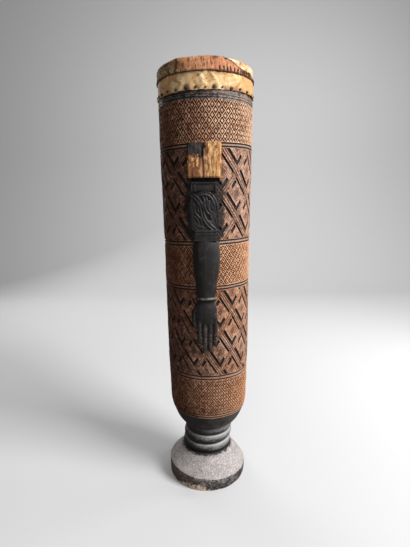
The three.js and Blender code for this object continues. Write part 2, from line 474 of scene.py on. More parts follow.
# crossing straps round lozenges. Inside one lozenge u and v run from -1 to 1 between its sides. A band's
# high is one lozenge's height, and its at is the turn in degrees and the height of a lozenge's middle.
interlace = {
    "bands": {
        "interlaceUpper": {"bottom": 693, "top": 905.5, "around": 9, "high": 107, "at": (39, 799.5)},
        "interlaceLower": {"bottom": 341.5, "top": 567, "around": 10, "high": 106, "at": (34, 457)},
    },
    "strap": 0.79, "slot": 0.535, "thin": 0.6, "tuck": (0.735, 0.762), "line": (0.85, 0.893, 0.936),
    "heart": (0.3, 0.345), "stub": 0.05,
    "close": 0.003, "slotDepth": 3.4, "lineDepth": 1.6, "tuckDepth": 1.5, "heartDepth": 0.9, "lap": 0.5,
}


# one lozenge of the pattern, cut and pressed in edit mode
class StrapTile:
    def __init__(self, name, wide, tall):
        self.halfWide, self.halfTall = wide / 2, tall / 2
        self.piece = flatDiamond(name, wide, tall)

    def uv(self, place):
        across, up = place.x / self.halfWide, place.y / self.halfTall
        return up + across, up - across

    def choose(self, test):
        pickFaces(self.piece, lambda centre: test(*self.uv(centre)))

    # cuts the chosen faces along the line where u, or v if the side is -1, has this value
    def cut(self, value, side):
        across = Vector((side / self.halfWide, 1 / self.halfTall, 0)).normalized()
        place = (side * value * self.halfWide / 2, value * self.halfTall / 2, 0)
        bpy.ops.mesh.bisect(plane_co=place, plane_no=across)

    def cutAll(self, values, test):
        for value in values:
            for side in (1, -1):
                for sign in (1, -1):
                    self.choose(test)
                    self.cut(sign * value, side)

    # presses down the vertices that pass the test
    def press(self, test, depth):
        startEdit(self.piece, "VERT")
        bpy.ops.mesh.select_all(action="DESELECT")
        toObjectMode()
        for vertex in self.piece.data.vertices:
            vertex.select = bool(test(*self.uv(vertex.co)))
        bpy.ops.object.mode_set(mode="EDIT")
        bpy.ops.transform.translate(value=(0, 0, -depth * mm))
        toObjectMode()

    def sink(self, test, slope, depth):
        self.choose(test)
        bpy.ops.mesh.inset(thickness=slope * mm, depth=-depth * mm)


def isAt(a, b):
    return abs(abs(a) - b) < interlace["close"]


def inSlot(u, v):
    strap, slot, thin, stub = (interlace[key] for key in ("strap", "slot", "thin", "stub"))
    if (slot < -u < strap or thin < u < strap) and abs(v) < strap:
        return True
    return slot < abs(v) < strap and -stub < (u if v > 0 else -u) < slot


def onLine(u, v):
    middle = interlace["line"][1]
    return isAt(u, middle) or (isAt(v, middle) and abs(u) < interlace["strap"] - 0.01)


def onTuck(u, v):
    return isAt(u, interlace["tuck"][1]) and abs(v) > interlace["strap"] - 0.01


def cutStraps(tile):
    strap, slot, thin = (interlace[key] for key in ("strap", "slot", "thin"))
    tile.cutAll((strap, slot, *interlace["line"]), lambda u, v: True)
    tile.choose(lambda u, v: slot < u < strap and abs(v) < strap)
    tile.cut(thin, 1)
    tile.cutAll(interlace["tuck"], lambda u, v: abs(v) > strap and slot < abs(u) < strap)
    tile.cutAll(interlace["heart"], lambda u, v: abs(u) < slot and abs(v) < slot)
    for sign in (1, -1):
        tile.choose(lambda u, v: abs(u) < slot and slot < v * sign < strap)
        tile.cut(-sign * interlace["stub"], 1)


def interlaceTile(name, wide, tall):
    tile = StrapTile(name, wide, tall)
    cutStraps(tile)
    low, high = interlace["heart"]
    tile.sink(inSlot, 0.7, interlace["slotDepth"])
    tile.sink(lambda u, v: low < max(abs(u), abs(v)) < high, 0.4, interlace["heartDepth"])
    tile.press(onLine, interlace["lineDepth"])
    tile.press(onTuck, interlace["tuckDepth"])
    tile.choose(lambda u, v: max(abs(u), abs(v)) < low)
    bpy.ops.mesh.inset(thickness=2.4 * mm, depth=0)
    bpy.ops.mesh.inset(thickness=0.8 * mm, depth=-interlace["heartDepth"] * mm)
    toObjectMode()
    return tile.piece


def interlaceBand(name, band):
    wide = 2 * math.pi * bandRadius(band) / band["around"] * mm
    tall = band["high"] * mm
    turn, middle = band["at"]
    start = (math.radians(turn) * bandRadius(band) * mm, middle * mm - 2 * tall, 0)
    tile = interlaceTile(name, wide, tall)
    return fillBand(tile, band, wide, tall, start, 4, interlace["lap"])


# the turned parts: foot, neck, bowl, the mouldings between the carved bands, and the seat of the head
core = {
    "columns": 96,
    "bed": -5.5,  # the core's surface under a carved band, from the wall's surface
    "plain": -0.2,
    "groove": 2.6, "grooveHalf": 2.1,
    "mouldings": [
        {"bottom": 678.5, "top": 693, "grooves": (681.7, 689.5)},
        {"bottom": 567, "top": 581, "grooves": (570.3, 577.5)},
        {"bottom": 326, "top": 341.5, "grooves": (329.3, 338)},
        {"bottom": 905.5, "top": 920, "grooves": (909.2, 916.6)},
    ],
    "mouthSteps": [  # height, and how far out from the wall
        (1012, -0.2), (1013.4, -0.2), (1014.2, -1.6), (1016.8, -1.7), (1017.6, -0.1), (1019.4, -0.1),
        (1020.2, -1.6), (1022.6, -1.6), (1023.2, -0.3), (1024.6, -0.3)],
    "footRadius": 109.5, "ringBase": 86, "rings": (27, 27, 21), "ringBulge": 6, "ringSteps": 9,
}


def grooved(z, low, high):
    half, deep = core["grooveHalf"], core["groove"]
    points = [(low, core["plain"])]
    for middle in z:
        points += [(middle - half, core["plain"]), (middle - half * 0.6, core["plain"] - deep),
                   (middle + half * 0.6, core["plain"] - deep), (middle + half, core["plain"])]
    points.append((high, core["plain"]))
    return points


def footProfile():
    foot, high = core["footRadius"], log["footHeight"]
    points = [(0, 0), (60, 0), (foot - 4, 0), (foot - 1.6, 1.4), (foot - 0.6, 5), (foot - 0.2, 14),
              (foot, 24), (foot, high - 2.4), (foot - 0.9, high - 0.6), (foot - 3, high + 2.2),
              (foot - 8, high + 7.6)]
    for i in range(1, 9):
        share = i / 8
        radius = (foot - 8) + (67 - foot + 8) * share
        points.append((radius, high + 8 + (core["ringBase"] - high - 8) * share ** 0.96))
    return points


def neckProfile():
    points = []
    z = core["ringBase"]
    for tall in core["rings"]:
        for i in range(core["ringSteps"] + 1):
            share = i / core["ringSteps"]
            bulge = math.sin(math.pi * share) ** 0.55
            points.append((log["neckRadius"] - 0.5 + bulge * core["ringBulge"], z + tall * share))
        z += tall
    return points


def bowlProfile():
    points = []
    for i in range(1, 16):
        share = math.cos(i / 22 * math.pi / 2)
        height = log["bowlTop"] - share * (log["bowlTop"] - log["bowlBottom"])
        if height > 213:
            break
        points.append((wallRadius(height) - 1.2, height))
    for height, out in grooved((218.6, 226), 214.4, 229):
        points.append((wallRadius(height) + out, height))
    points.append((wallRadius(229) + core["bed"], 229))
    return points


# from the top of the upper carved band up to the mouth
def mouthProfile():
    points = [(wallRadius(1012) + core["bed"], 1012)]
    points += [(wallRadius(1020) + out, height) for height, out in core["mouthSteps"]]
    points.append((log["seatRadius"] + 0.1, 1025.2))
    seat, top, edge = log["seatRadius"], log["top"], 2.5
    return points + [(seat, 1060), (seat, top - edge), (seat - edge, top), (0, top)]


# [radius, height] from the underside's centre up the outside to the top's centre
def coreProfile():
    points = footProfile() + neckProfile() + bowlProfile()
    for moulding in sorted(core["mouldings"], key=lambda m: m["bottom"]):
        low, high = moulding["bottom"], moulding["top"]
        points.append((wallRadius(low) + core["bed"], low))
        for height, out in grooved(moulding["grooves"], low, high):
            points.append((wallRadius(height) + out, height))
        points.append((wallRadius(high) + core["bed"], high))
    return points + mouthProfile()


def spun(name, profile, columns):
    bpy.ops.object.select_all(action="DESELECT")
    bpy.ops.mesh.primitive_plane_add(size=mm, location=(0, 0, 0))
    piece = added(name)
    startEdit(piece, "VERT")
    bpy.ops.mesh.select_all(action="SELECT")
    bpy.ops.mesh.merge(type="CENTER")
    first = profile[0]
    bpy.ops.transform.translate(value=(0, -first[0] * mm, first[1] * mm))
    for near, far in zip(profile, profile[1:]):
        step = (0, (near[0] - far[0]) * mm, (far[1] - near[1]) * mm)
        bpy.ops.mesh.extrude_vertices_move(TRANSFORM_OT_translate={"value": step})
    bpy.ops.mesh.select_all(action="SELECT")
    bpy.ops.mesh.spin(steps=columns, angle=2 * math.pi, center=(0, 0, 0), axis=(0, 0, 1))
    mergeClose(piece)
    return piece


def makeCore():
    piece = spun("drumBody", coreProfile(), core["columns"])
    for vertex in piece.data.vertices:
        vertex.co = settled(*(vertex.co / mm)) * mm
    return piece


chamber = {"floor": 205, "mouth": 104.5, "foot": 94.5, "columns": 48}


def makeChamber():
    floor, mouth, foot = chamber["floor"], chamber["mouth"], chamber["foot"]
    above = log["top"] + 5
    profile = [(0, floor), (52, floor + 6), (80, floor + 26), (foot, floor + 62), (100, 420),
               (mouth, 900), (mouth, above), (0, above)]
    return spun("chamber", profile, chamber["columns"])


arm = {
    "shift": -4,
    "parts": [("forearm", 32), ("hand", 28), ("thumb", 12), ("bracelet", 32)],  # each with its sides
    "forearm": [  # height, middle, half width, how far it stands out
        (536, 1, 21.5, 8), (541, 1, 23, 11), (556, 1, 24, 13), (585, 1.5, 27.5, 15),
        (612, 2, 31.5, 16.5), (640, 2.5, 33.5, 17), (666, 2.5, 33.5, 16.5), (684, 2, 32, 15),
        (692, 1.5, 30.5, 14)],
    "hand": [
        (548, 0, 20, 8), (540, 0, 22, 10), (530, -1, 27, 11), (516, -2, 30.5, 12),
        (500, -0.5, 29.5, 12), (486, 3, 26, 10.5), (478, 3, 24, 6)],
    "fingers": [(-16.2, 422), (-3.4, 405), (9.6, 408), (22.6, 422)],  # middle and tip
    "finger": {
        "root": 508, "half": 5.9, "out": 9.5, "square": 0.62,
        "rings": [(0, 0.8, 0.7), (0.1, 1, 1), (0.45, 1.02, 0.97), (0.5, 0.96, 0.9), (0.85, 0.93, 0.86)],
    },
    "thumb": [
        (526, -25, 5, 8), (516, -29.5, 7, 10), (502, -31, 7.2, 10.5), (488, -30.5, 6.8, 10),
        (476, -28.5, 5.6, 9), (469, -27, 3.4, 6)],
    "bracelet": [
        (552, 0, 23.5, 12), (550, 0, 25.6, 15.5), (546, 0, 26, 16.5), (543.5, 0, 25, 15), (542, 0, 22, 11)],
    "grain": 1.5, "keep": 0.55, "sunk": 7,
}


# a lower square number makes the round section boxier
def loft(name, rings, sides, square):
    first = rings[0]
    bpy.ops.object.select_all(action="DESELECT")
    bpy.ops.mesh.primitive_circle_add(vertices=sides, radius=mm, fill_type="NGON", location=(0, 0, 0))
    piece = added(name)
    for vertex in piece.data.vertices:
        for i in (0, 1):
            side = vertex.co[i] / mm
            vertex.co[i] = math.copysign(abs(side) ** square, side) * mm
    startEdit(piece)
    bpy.ops.mesh.select_all(action="SELECT")
    bpy.ops.transform.resize(value=(first[3], first[4], 1), center_override=(0, 0, 0))
    bpy.ops.transform.translate(value=Vector(first[:3]) * mm)
    for near, far in zip(rings, rings[1:]):
        step = (Vector(far[:3]) - Vector(near[:3])) * mm
        bpy.ops.mesh.extrude_region_move(TRANSFORM_OT_translate={"value": step})
        grow = (far[3] / near[3], far[4] / near[4], 1)
        bpy.ops.transform.resize(value=grow, center_override=Vector(far[:3]) * mm)
    bpy.ops.mesh.select_all(action="SELECT")
    bpy.ops.mesh.normals_make_consistent(inside=False)
    toObjectMode()
    return piece


# rings of (height, middle, half width, out) become a flattened form lying on the wall
def relief(name, rings, sides, square=1.0):
    made = []
    for z, middle, half, out in rings:
        across = middle + arm["shift"]
        seat = math.sqrt(wallRadius(z) ** 2 - across ** 2) - arm["sunk"]
        made.append((across, -seat, z, half, out + arm["sunk"]))
    return loft(name, made, sides, square)


# from the root, over a slight waist at the joint, to the round tip
def fingerRings(middle, tip):
    root, half, out = (arm["finger"][key] for key in ("root", "half", "out"))
    long = root - tip
    rings = []
    for share, wide, high in arm["finger"]["rings"]:
        rings.append((root - share * long, middle, half * wide, out * high))
    for i in range(1, 4):
        share = i / 3.4
        end = math.sqrt(1 - share * share)
        height = root - (0.85 + 0.15 * share) * long
        rings.append((height, middle, half * 0.93 * end, out * 0.86 * (0.4 + 0.6 * end)))
    return rings


def makeArm():
    parts = [relief(name, arm[name], sides) for name, sides in arm["parts"]]
    square = arm["finger"]["square"]
    parts += [relief("finger", fingerRings(middle, tip), 16, square) for middle, tip in arm["fingers"]]
    pickOnly(*parts)
    bpy.ops.object.join()
    piece = bpy.context.object
    applyModifier(piece, "REMESH", mode="VOXEL", voxel_size=arm["grain"] * mm)
    applyModifier(piece, "SMOOTH", factor=0.5, iterations=2)
    applyModifier(piece, "DECIMATE", ratio=arm["keep"])
    return piece


# broad flat strands, each with two ridges along it; places are across, height and how far it rides up
knot = {
    "half": 6.4, "reach": 7.2, "grain": 1.15, "keep": 0.5,
    "ridges": [(-1, -9), (-1, -1.4), (-0.86, 0), (-0.55, 0.5), (-0.25, 0.1), (0, -1.5),
               (0.25, 0.1), (0.55, 0.5), (0.86, 0), (1, -1.4), (1, -9)],
    "strands": [
        [(-41, 806, 0.5), (-29, 798, 1), (-18, 789, 1.2), (-10.5, 777, 0.6), (-7, 763, -0.4),
         (-4, 750, 0), (2, 738, 1), (11, 727, 1), (21, 718, 0.6), (31, 710, 0.4)],
        [(-32, 768, 0.6), (-31, 783, 0.4), (-23, 796, -0.8), (-8, 803, 0.6), (8, 802, 1),
         (19, 792, 0.8), (25, 777, 0.4), (24.5, 762, -0.4), (17, 752, 0.8), (22, 741, 0.2),
         (20.5, 729, -0.8), (6, 720, -0.8), (-8, 719.5, 0.8), (-22, 725, 0.6), (-30.5, 736, 0.4),
         (-30, 750, -0.4), (-33, 760, 0), (-32, 768, 0.6)],
        [(-35, 757, 0), (-24, 752, 0.8), (-15, 743, 0.6), (-10.5, 731, 0), (-9, 720, -0.8)],
        [(-2, 799, -0.8), (1.5, 787, 0), (2.5, 774, 0.4), (7, 762, 0.4), (16, 754, 0.2), (25, 748, 0)],
        [(13, 787, 0), (12.5, 776, 0.3), (13.5, 765, 0)],
        [(9.5, 741, 0), (8.5, 732, 0.3), (7.5, 724, 0)],
        [(-21, 778, 0), (-21.5, 768, 0.3), (-19.5, 757, 0)],
        [(-20.5, 741, 0), (-20, 733, 0.3), (-19, 727, 0)],
    ],
}


def knotSection():
    section = bpy.data.curves.new("section", "CURVE")
    line = section.splines.new("POLY")
    line.points.add(len(knot["ridges"]) - 1)
    for point, (side, up) in zip(line.points, knot["ridges"]):
        point.co = (side * knot["half"] * mm, up * mm, 0, 1)
    line.use_cyclic_u = True
    piece = bpy.data.objects.new("section", section)
    bpy.context.scene.collection.objects.link(piece)
    return piece


# laid out flat, then bent round the wall
def makeStrand(section, places):
    curve = bpy.data.curves.new("strand", "CURVE")
    curve.dimensions = "3D"
    curve.twist_mode = "Z_UP"
    line = curve.splines.new("BEZIER")
    line.bezier_points.add(len(places) - 1)
    for point, (across, height, up) in zip(line.bezier_points, places):
        point.co = Vector((across, height, knot["reach"] + up)) * mm
        point.handle_left_type = point.handle_right_type = "AUTO"
    curve.bevel_mode = "OBJECT"
    curve.bevel_object = section
    curve.resolution_u = 6
    curve.use_fill_caps = True
    strand = bpy.data.objects.new("strand", curve)
    bpy.context.scene.collection.objects.link(strand)
    pickOnly(strand)
    bpy.ops.object.convert(target="MESH")
    strand = bpy.context.object
    for vertex in strand.data.vertices:
        across, z, out = vertex.co.x / mm + arm["shift"], vertex.co.y / mm, vertex.co.z / mm
        vertex.co = Vector((across, -math.sqrt(wallRadius(z) ** 2 - across ** 2) - out, z)) * mm
    mergeClose(strand)
    return strand


def makeKnot():
    section = knotSection()
    strands = [makeStrand(section, places) for places in knot["strands"]]
    remove(section)
    pickOnly(*strands)
    bpy.ops.object.join()
    piece = bpy.context.object
    applyModifier(piece, "REMESH", mode="VOXEL", voxel_size=knot["grain"] * mm)
    applyModifier(piece, "SMOOTH", factor=0.5, iterations=1)
    applyModifier(piece, "DECIMATE", ratio=knot["keep"])
    return piece


# an upright block standing out of the wall, bevelled, its back sunk in the wood
def reliefBlock(name, bottom, top, left, right, out, bevel, taper=1.0):
    front = wallRadius((bottom + top) / 2) + out
    back = chamber["mouth"] + 4
    bpy.ops.object.select_all(action="DESELECT")
    bpy.ops.mesh.primitive_cube_add(size=1, location=(0, 0, 0))
    block = added(name)
    startEdit(block)
    bpy.ops.mesh.select_all(action="SELECT")
    bpy.ops.transform.resize(value=((right - left) * mm, (front - back) * mm, (top - bottom) * mm))
    middle = Vector(((left + right) / 2, -(front + back) / 2, (bottom + top) / 2)) * mm
    bpy.ops.transform.translate(value=middle)
    pickFaces(block, lambda centre: centre.z < (bottom + 0.1) * mm)
    bpy.ops.transform.resize(value=(taper, 1, 1), center_override=middle)
    pickFaces(block, lambda centre: centre.y < -(front - 0.1) * mm)
    bpy.ops.mesh.bevel(offset=bevel * mm, segments=2, affect="EDGES")
    toObjectMode()
    return block


cuffs = {
    "upper": {"bottom": 808, "top": 829, "left": -35, "right": 23, "out": 9, "bevel": 1.5},
    "upperBar": {"bottom": 824.5, "top": 829.5, "left": -36, "right": 24, "out": 12, "bevel": 1.2},
    "upperEdge": {"bottom": 806, "top": 824, "left": -28.5, "right": -24.5, "out": 11.5, "bevel": 1.0},
    "upperSide": {"bottom": 806, "top": 824, "left": -36, "right": -32.5, "out": 11.5, "bevel": 1.0},
    "upperFar": {"bottom": 806, "top": 824, "left": 19.5, "right": 24, "out": 11.5, "bevel": 1.0},
    "upperInner": {"bottom": 810, "top": 821, "left": -21, "right": 5, "out": 10.2, "bevel": 0.8},
    "knotBed": {"bottom": 716, "top": 811, "left": -37, "right": 29, "out": 3.2, "bevel": 1.2},
    "lower": {"bottom": 692, "top": 718, "left": -29, "right": 23, "out": 11, "bevel": 1.2, "taper": 1.05},
    "lowerBarA": {"bottom": 712.5, "top": 716, "left": -29.5, "right": 23.5, "out": 12.3, "bevel": 0.8},
    "lowerBarB": {"bottom": 706, "top": 709.5, "left": -29.5, "right": 23.5, "out": 12.3, "bevel": 0.8},
    "lowerEdge": {"bottom": 691, "top": 695.5, "left": -31, "right": 25, "out": 14, "bevel": 1.2},
}


# the broken stub: a rough split face, with fibres down it and one deep crack
stub = {
    "bottom": 838.5, "top": 915, "left": -43, "right": 35, "out": 20, "back": 27, "columns": 44, "rows": 26,
    "crack": {"middle": -7.5, "deep": 5.0, "half": 1.7, "step": 1.6, "wander": 1.5},
    "corner": 3.0,
}


def stubDepth(x, z):
    fibre = noise.noise(Vector((x * 0.3, 3.1, z * 0.035)))
    hair = noise.noise(Vector((x * 0.9, 7.7, z * 0.08))) * 0.4
    split = noise.noise(Vector((x * 0.1, 9.3, z * 0.07))) * 1.6
    crack = stub["crack"]
    middle = crack["middle"] + crack["wander"] * math.sin(z * 0.09) + (z - 876) * 0.02
    gap = crack["deep"] * math.exp(-((x - middle) / crack["half"]) ** 2) * smoothStep(914, 898, z)
    step = crack["step"] * smoothStep(middle - 1, middle + 2, x)
    edge = min(x - stub["left"], stub["right"] - x, z - stub["bottom"] + 1.5)
    return stub["out"] + fibre + hair + split - gap + step - stub["corner"] * smoothStep(4, 0, edge)


def makeStub():
    wide, tall = stub["right"] - stub["left"], stub["top"] - stub["bottom"]
    bpy.ops.object.select_all(action="DESELECT")
    bpy.ops.mesh.primitive_grid_add(x_subdivisions=stub["columns"], y_subdivisions=stub["rows"], size=1,
                                    location=(0, 0, 0))
    piece = added("stub")
    for vertex in piece.data.vertices:
        x = stub["left"] + (vertex.co.x + 0.5) * wide
        z = stub["bottom"] + (vertex.co.y + 0.5) * tall
        edge = noise.noise(Vector((x * 0.2, z * 0.2, 5))) * 0.7
        vertex.co = Vector((x + edge, -(wallRadius(z) + stubDepth(x, z)), z + edge)) * mm
    startEdit(piece)
    bpy.ops.mesh.select_all(action="SELECT")
    for share in (0.25, 0.25, 0.5):
        bpy.ops.mesh.extrude_region_move(TRANSFORM_OT_translate={"value": (0, share * stub["back"] * mm, 0)})
    bpy.ops.mesh.select_all(action="SELECT")
    bpy.ops.mesh.normals_make_consistent(inside=False)
    toObjectMode()
    return piece


# painted shade lies on the wall this far each side of the arm's middle, at a height
paintedArmShade = [(690, 30), (700, 43), (760, 47), (800, 44), (835, 40), (842, 30)]


# the height that a point of the wall had before the bands were tilted
def levelOf(x, y, z):
    return z - between(z, log["levels"]) * x / max(math.hypot(x, y), 1) if z > 165 else z


# 1 on the face of the wall or of the neck's rings, and 0 in their deepest cuts
def reliefOf(x, y, z, level):
    radius = math.hypot(x, y)
    if 213 < level < 1025 and radius > 100:
        return min(max(1 + (radius - wallRadius(level)) / 3, 0), 1)
    if 80 < level < 162:
        return min(max((math.hypot(x - footShiftAt(z), y) - 62) / 6, 0), 1)
    return 1


# painted shade: darkens the wall round the arm's knot and cuffs, fading a few mm outside them
def paintedArmShadeOf(x, y, z):
    if y > 0 or not paintedArmShade[0][0] < z < paintedArmShade[-1][0]:
        return 0
    return smoothStep(6, -3, abs(x - arm["shift"]) - between(z, paintedArmShade))


# where the arm and the stub's raw wood lie: half their width, then heights and how far out they begin
zones = {"half": 46, "arm": (395, 836, 0.4), "rawWood": (836, 920, 0.9)}


def zoneOf(name, x, y, z):
    low, high, out = zones[name]
    if y > 0 or abs(x - arm["shift"]) > zones["half"] or not low < z < high:
        return 0.0
    return float(math.hypot(x, y) - wallRadius(z) > out)


# writes what the finish reads: relief, level and painted shade round the arm at the points, and arm and raw
# wood on the faces
def markZones(body):
    reliefs, levels, paintedArmShades = [], [], []
    for vertex in body.data.vertices:
        x, y, z = vertex.co / mm
        level = levelOf(x, y, z)
        reliefs.append(reliefOf(x, y, z, level))
        levels.append(level * mm)
        paintedArmShades.append(paintedArmShadeOf(x, y, z))
    for name, values in (("relief", reliefs), ("level", levels), ("paintedArmShade", paintedArmShades)):
        body.data.attributes.new(name, "FLOAT", "POINT").data.foreach_set("value", values)
    for name in ("arm", "rawWood"):
        values = [zoneOf(name, *(face.center / mm)) for face in body.data.polygons]
        body.data.attributes.new(name, "FLOAT", "FACE").data.foreach_set("value", values)


# small unevenness of hand carving over the whole log: each layer's scale and reach
carving = {"layers": [(0.028, 0.9), (0.11, 0.28)], "seed": 7}


def unevenly(body):
    noise.seed_set(carving["seed"])  # noise_vector would differ from run to run without it
    for vertex in body.data.vertices:
        place = vertex.co / mm
        if place.z > log["seatBottom"] - 2 or math.hypot(place.x, place.y) < 40:
            continue
        move = Vector((0, 0, 0))
        for scale, reach in carving["layers"]:
            move += noise.noise_vector(place * scale) * reach
        if place.z < 1:
            move.z = 0
        vertex.co += move * mm


# the body's map for baking: the outside unrolled by angle and height, the chamber's wall beside it,
# and the faces that look up or down as discs
bakeMap = {
    "tall": 1.1, "outside": (0.012, 0.58), "chamber": (0.62, 0.16), "upright": (0.005, 0.99),
    "disc": 0.897, "discScale": 0.78, "underside": 0.105, "floor": 0.315, "top": 0.525, "steps": 0.735,
}


def discLevel(centre):
    if centre.z < mm:
        return bakeMap["underside"]
    if centre.z > (log["top"] - 4) * mm:
        return bakeMap["top"]
    inside = math.hypot(centre.x, centre.y) < chamber["foot"] * mm
    if inside and (chamber["floor"] - 3) * mm < centre.z < (chamber["floor"] + 60) * mm:
        return bakeMap["floor"]
    return bakeMap["steps"]


def inChamber(centre, normal):
    inward = normal.x * centre.x + normal.y * centre.y < 0
    return inward and centre.z > 0.2 and math.hypot(centre.x, centre.y) < (chamber["mouth"] + 1) * mm


def unroll(body):
    mesh = body.data
    layer = mesh.uv_layers.new(name="OFBake")
    low, tall = bakeMap["upright"]
    scale = bakeMap["discScale"]
    for face in mesh.polygons:
        middle = angleOf(face.center)
        level = discLevel(face.center)
        start, wide = bakeMap["chamber" if inChamber(face.center, face.normal) else "outside"]
        for i in face.loop_indices:
            place = mesh.vertices[mesh.loops[i].vertex_index].co
            if abs(face.normal.z) > 0.9:
                layer.data[i].uv = (bakeMap["disc"] + place.x * scale, level + place.y * scale)
                continue
            share = (middle + turnBetween(angleOf(place), middle)) / (2 * math.pi) + 0.5
            layer.data[i].uv = (start + wide * share, low + tall * place.z / bakeMap["tall"])


def makeDrumBody():
    body = makeCore()
    print("core", len(body.data.polygons))
    for name, band in lattice["bands"].items():
        joinSolid(body, latticeBand(name, band))
    for name, band in interlace["bands"].items():
        joinSolid(body, interlaceBand(name, band))
    print("carved bands", len(body.data.polygons))
    for name, cuff in cuffs.items():
        joinSolid(body, reliefBlock(name, **cuff))
    joinSolid(body, makeKnot())
    joinSolid(body, makeArm())
    joinSolid(body, makeStub())
    print("arm", len(body.data.polygons))
    joinSolid(body, makeChamber(), "DIFFERENCE")
    markZones(body)
    unevenly(body)
    unroll(body)
    pickOnly(body)
    bpy.ops.object.shade_smooth_by_angle(angle=math.radians(32))
    body.data.materials.clear()
    body.data.materials.append(carvedWood())
    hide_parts("drum_body")
    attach(body, "root")
    print("drum body", len(body.data.polygons))


# stained red-brown wood, worn on the ridges and black in the cuts, with black and dusty zones, painted
# highlights on its right and painted shade on its left: its colours, then the heights of the blackened parts
# and the width of the hatching, in m
wood = {
    "ridge": (0.37, 0.145, 0.07), "ridgeWornAndLit": (0.84, 0.53, 0.33), "cut": (0.035, 0.013, 0.008),
    "redderLit": (0.50, 0.17, 0.06), "redderLitWorn": (0.96, 0.54, 0.31), "strapRedderLit": (0.62, 0.25, 0.09),
    "strap": (0.22, 0.095, 0.058), "strapWornAndLit": (0.60, 0.36, 0.245), "line": (0.075, 0.038, 0.028),
    "slot": (0.022, 0.017, 0.017), "grimeAndShade": (0.34, 0.22, 0.17), "edge": (0.27, 0.21, 0.18),
    "black": (0.014, 0.012, 0.012), "blackWorn": (0.095, 0.08, 0.075), "bandWornAndLit": (0.23, 0.15, 0.11),
    "braceletHighlight": (0.17, 0.15, 0.14), "dust": (0.64, 0.58, 0.56), "dustDark": (0.235, 0.205, 0.20),
    "salt": (0.86, 0.83, 0.80), "ring": (0.44, 0.43, 0.43), "side": (0.035, 0.031, 0.031),
    "sidePale": (0.33, 0.29, 0.28), "sideBrown": (0.13, 0.075, 0.045), "raw": (0.70, 0.31, 0.095),
    "rawPale": (0.92, 0.60, 0.29), "rawBrown": (0.17, 0.06, 0.02), "rawRose": (0.42, 0.20, 0.13),
    "chip": (1.0, 0.78, 0.58),
    "blackBand": 1.0118, "blackLines": [(1.0118, 1.0138), (1.0172, 1.0196), (1.0228, 1.025)],
    "bowlTop": 0.2142, "bracelet": (0.5475, 0.5512), "hatch": 0.0058,
}


# the wood's finish, with the places, zones and noises that all its parts read
class WoodFinish(Finish):
    def __init__(self):
        super().__init__("carvedWood")
        self.x, self.y, self.z = (self.axis(self.place, i) for i in range(3))
        self.depth = self.attribute("relief")
        self.level = self.attribute("level")
        self.onArm = self.attribute("arm")
        self.broad = self.noise(9, 4)
        self.patch = self.noise(38, 4, 0.6, warp=0.4)
        self.mottle = self.noise(120, 4, 0.65)
        self.speck = self.noise(380, 3, 0.7)
        self.fleck = self.noise(235, 3, 0.7)
        self.fibre = self.noise(170, 5, 0.65, self.stretched(1, 1, 0.07))
        self.worn = self.handWornAndLitRight()
        self.redAndLitRight = self.redderAndLitRight()
        self.inBowl = self.level < wood["bowlTop"]
        self.inBlackBand = self.level > wood["blackBand"]
        self.isBlack = self.inBowl.largest(self.inBlackBand).largest(self.onArm)

    # lighter where hands have worn it, and more so higher up; lighter toward the right as well, a painted
    # highlight on the lit side
    def handWornAndLitRight(self):
        flecks = self.patch * 0.45 + self.speck * 0.5 + self.fleck * 0.7 + self.fibre * 0.2
        return (flecks + self.x * 0.5).ramp(0.81, 1.03) * (0.54 + self.level.ramp(0.3, 0.36) * 0.46)

    # redder in the middle bands and at random, and redder and brighter toward the right: a painted highlight
    # on the lit side
    def redderAndLitRight(self):
        inMiddle = self.heights(0.45, 0.7)
        return (self.broad + self.x * 2.2 - self.level * 0.35 + inMiddle * 0.35).ramp(0.42, 0.72)

    def heights(self, low, high):
        return (self.level > low) * (self.level < high)

    def inBands(self, bands):
        first, *others = [self.heights((b["bottom"] - 1) * mm, (b["top"] + 1) * mm) for b in bands.values()]
        for other in others:
            first = first.largest(other)
        return first


# diamonds: red-brown and worn on the ridges, dark in the cuts, with dark pits and pale flecks; the pits
# gather toward the left as painted shade and the flecks toward the right as painted highlight
def latticeColour(finish, face):
    x, fleck = finish.x, finish.fleck
    cuts = (finish.depth + fleck * 0.35 - 0.17).ramp(0.5, 0.94)
    base = finish.mix(cuts, wood["cut"], face)
    # painted shade: these dark pits grow toward the left
    pits = (fleck * 0.6 + finish.mottle * 0.5 - x * 0.4).ramp(0.61, 0.68)
    base = finish.mix(pits * 0.75, base, wood["cut"])
    # pale flecks on the ridges, wear and a painted highlight that grows toward the right
    pale = (finish.speck * 0.6 + fleck * 0.5 + x * 0.3).ramp(0.6, 0.68) * finish.depth.ramp(0.75, 0.95)
    return finish.mix(pale * 0.7, base, wood["ridgeWornAndLit"])


# straps: browner, with fine hatching across them, dark lines and black slots
def strapColour(finish):
    base = finish.mix(finish.worn, wood["strap"], wood["strapWornAndLit"])
    # painted highlight: the straps redder and brighter toward the right
    base = finish.mix(finish.redAndLitRight * 0.3, base, wood["strapRedderLit"])
    around = finish.node("ShaderNodeMath", {"operation": "ARCTAN2"}, {0: finish.x, 1: 0 - finish.y})
    hatch = (around * 0.113 + finish.z * 0.62).waves(wood["hatch"]) * 0.5 + 0.5
    base = finish.mix(hatch * finish.mottle.ramp(0.4, 0.56) * 0.7, base, wood["line"])
    base = finish.mix((finish.depth + finish.speck * 0.16).ramp(0.66, 1.0), wood["line"], base)
    return finish.mix((finish.depth + finish.mottle * 0.3).ramp(0.26, 0.66), wood["slot"], base)


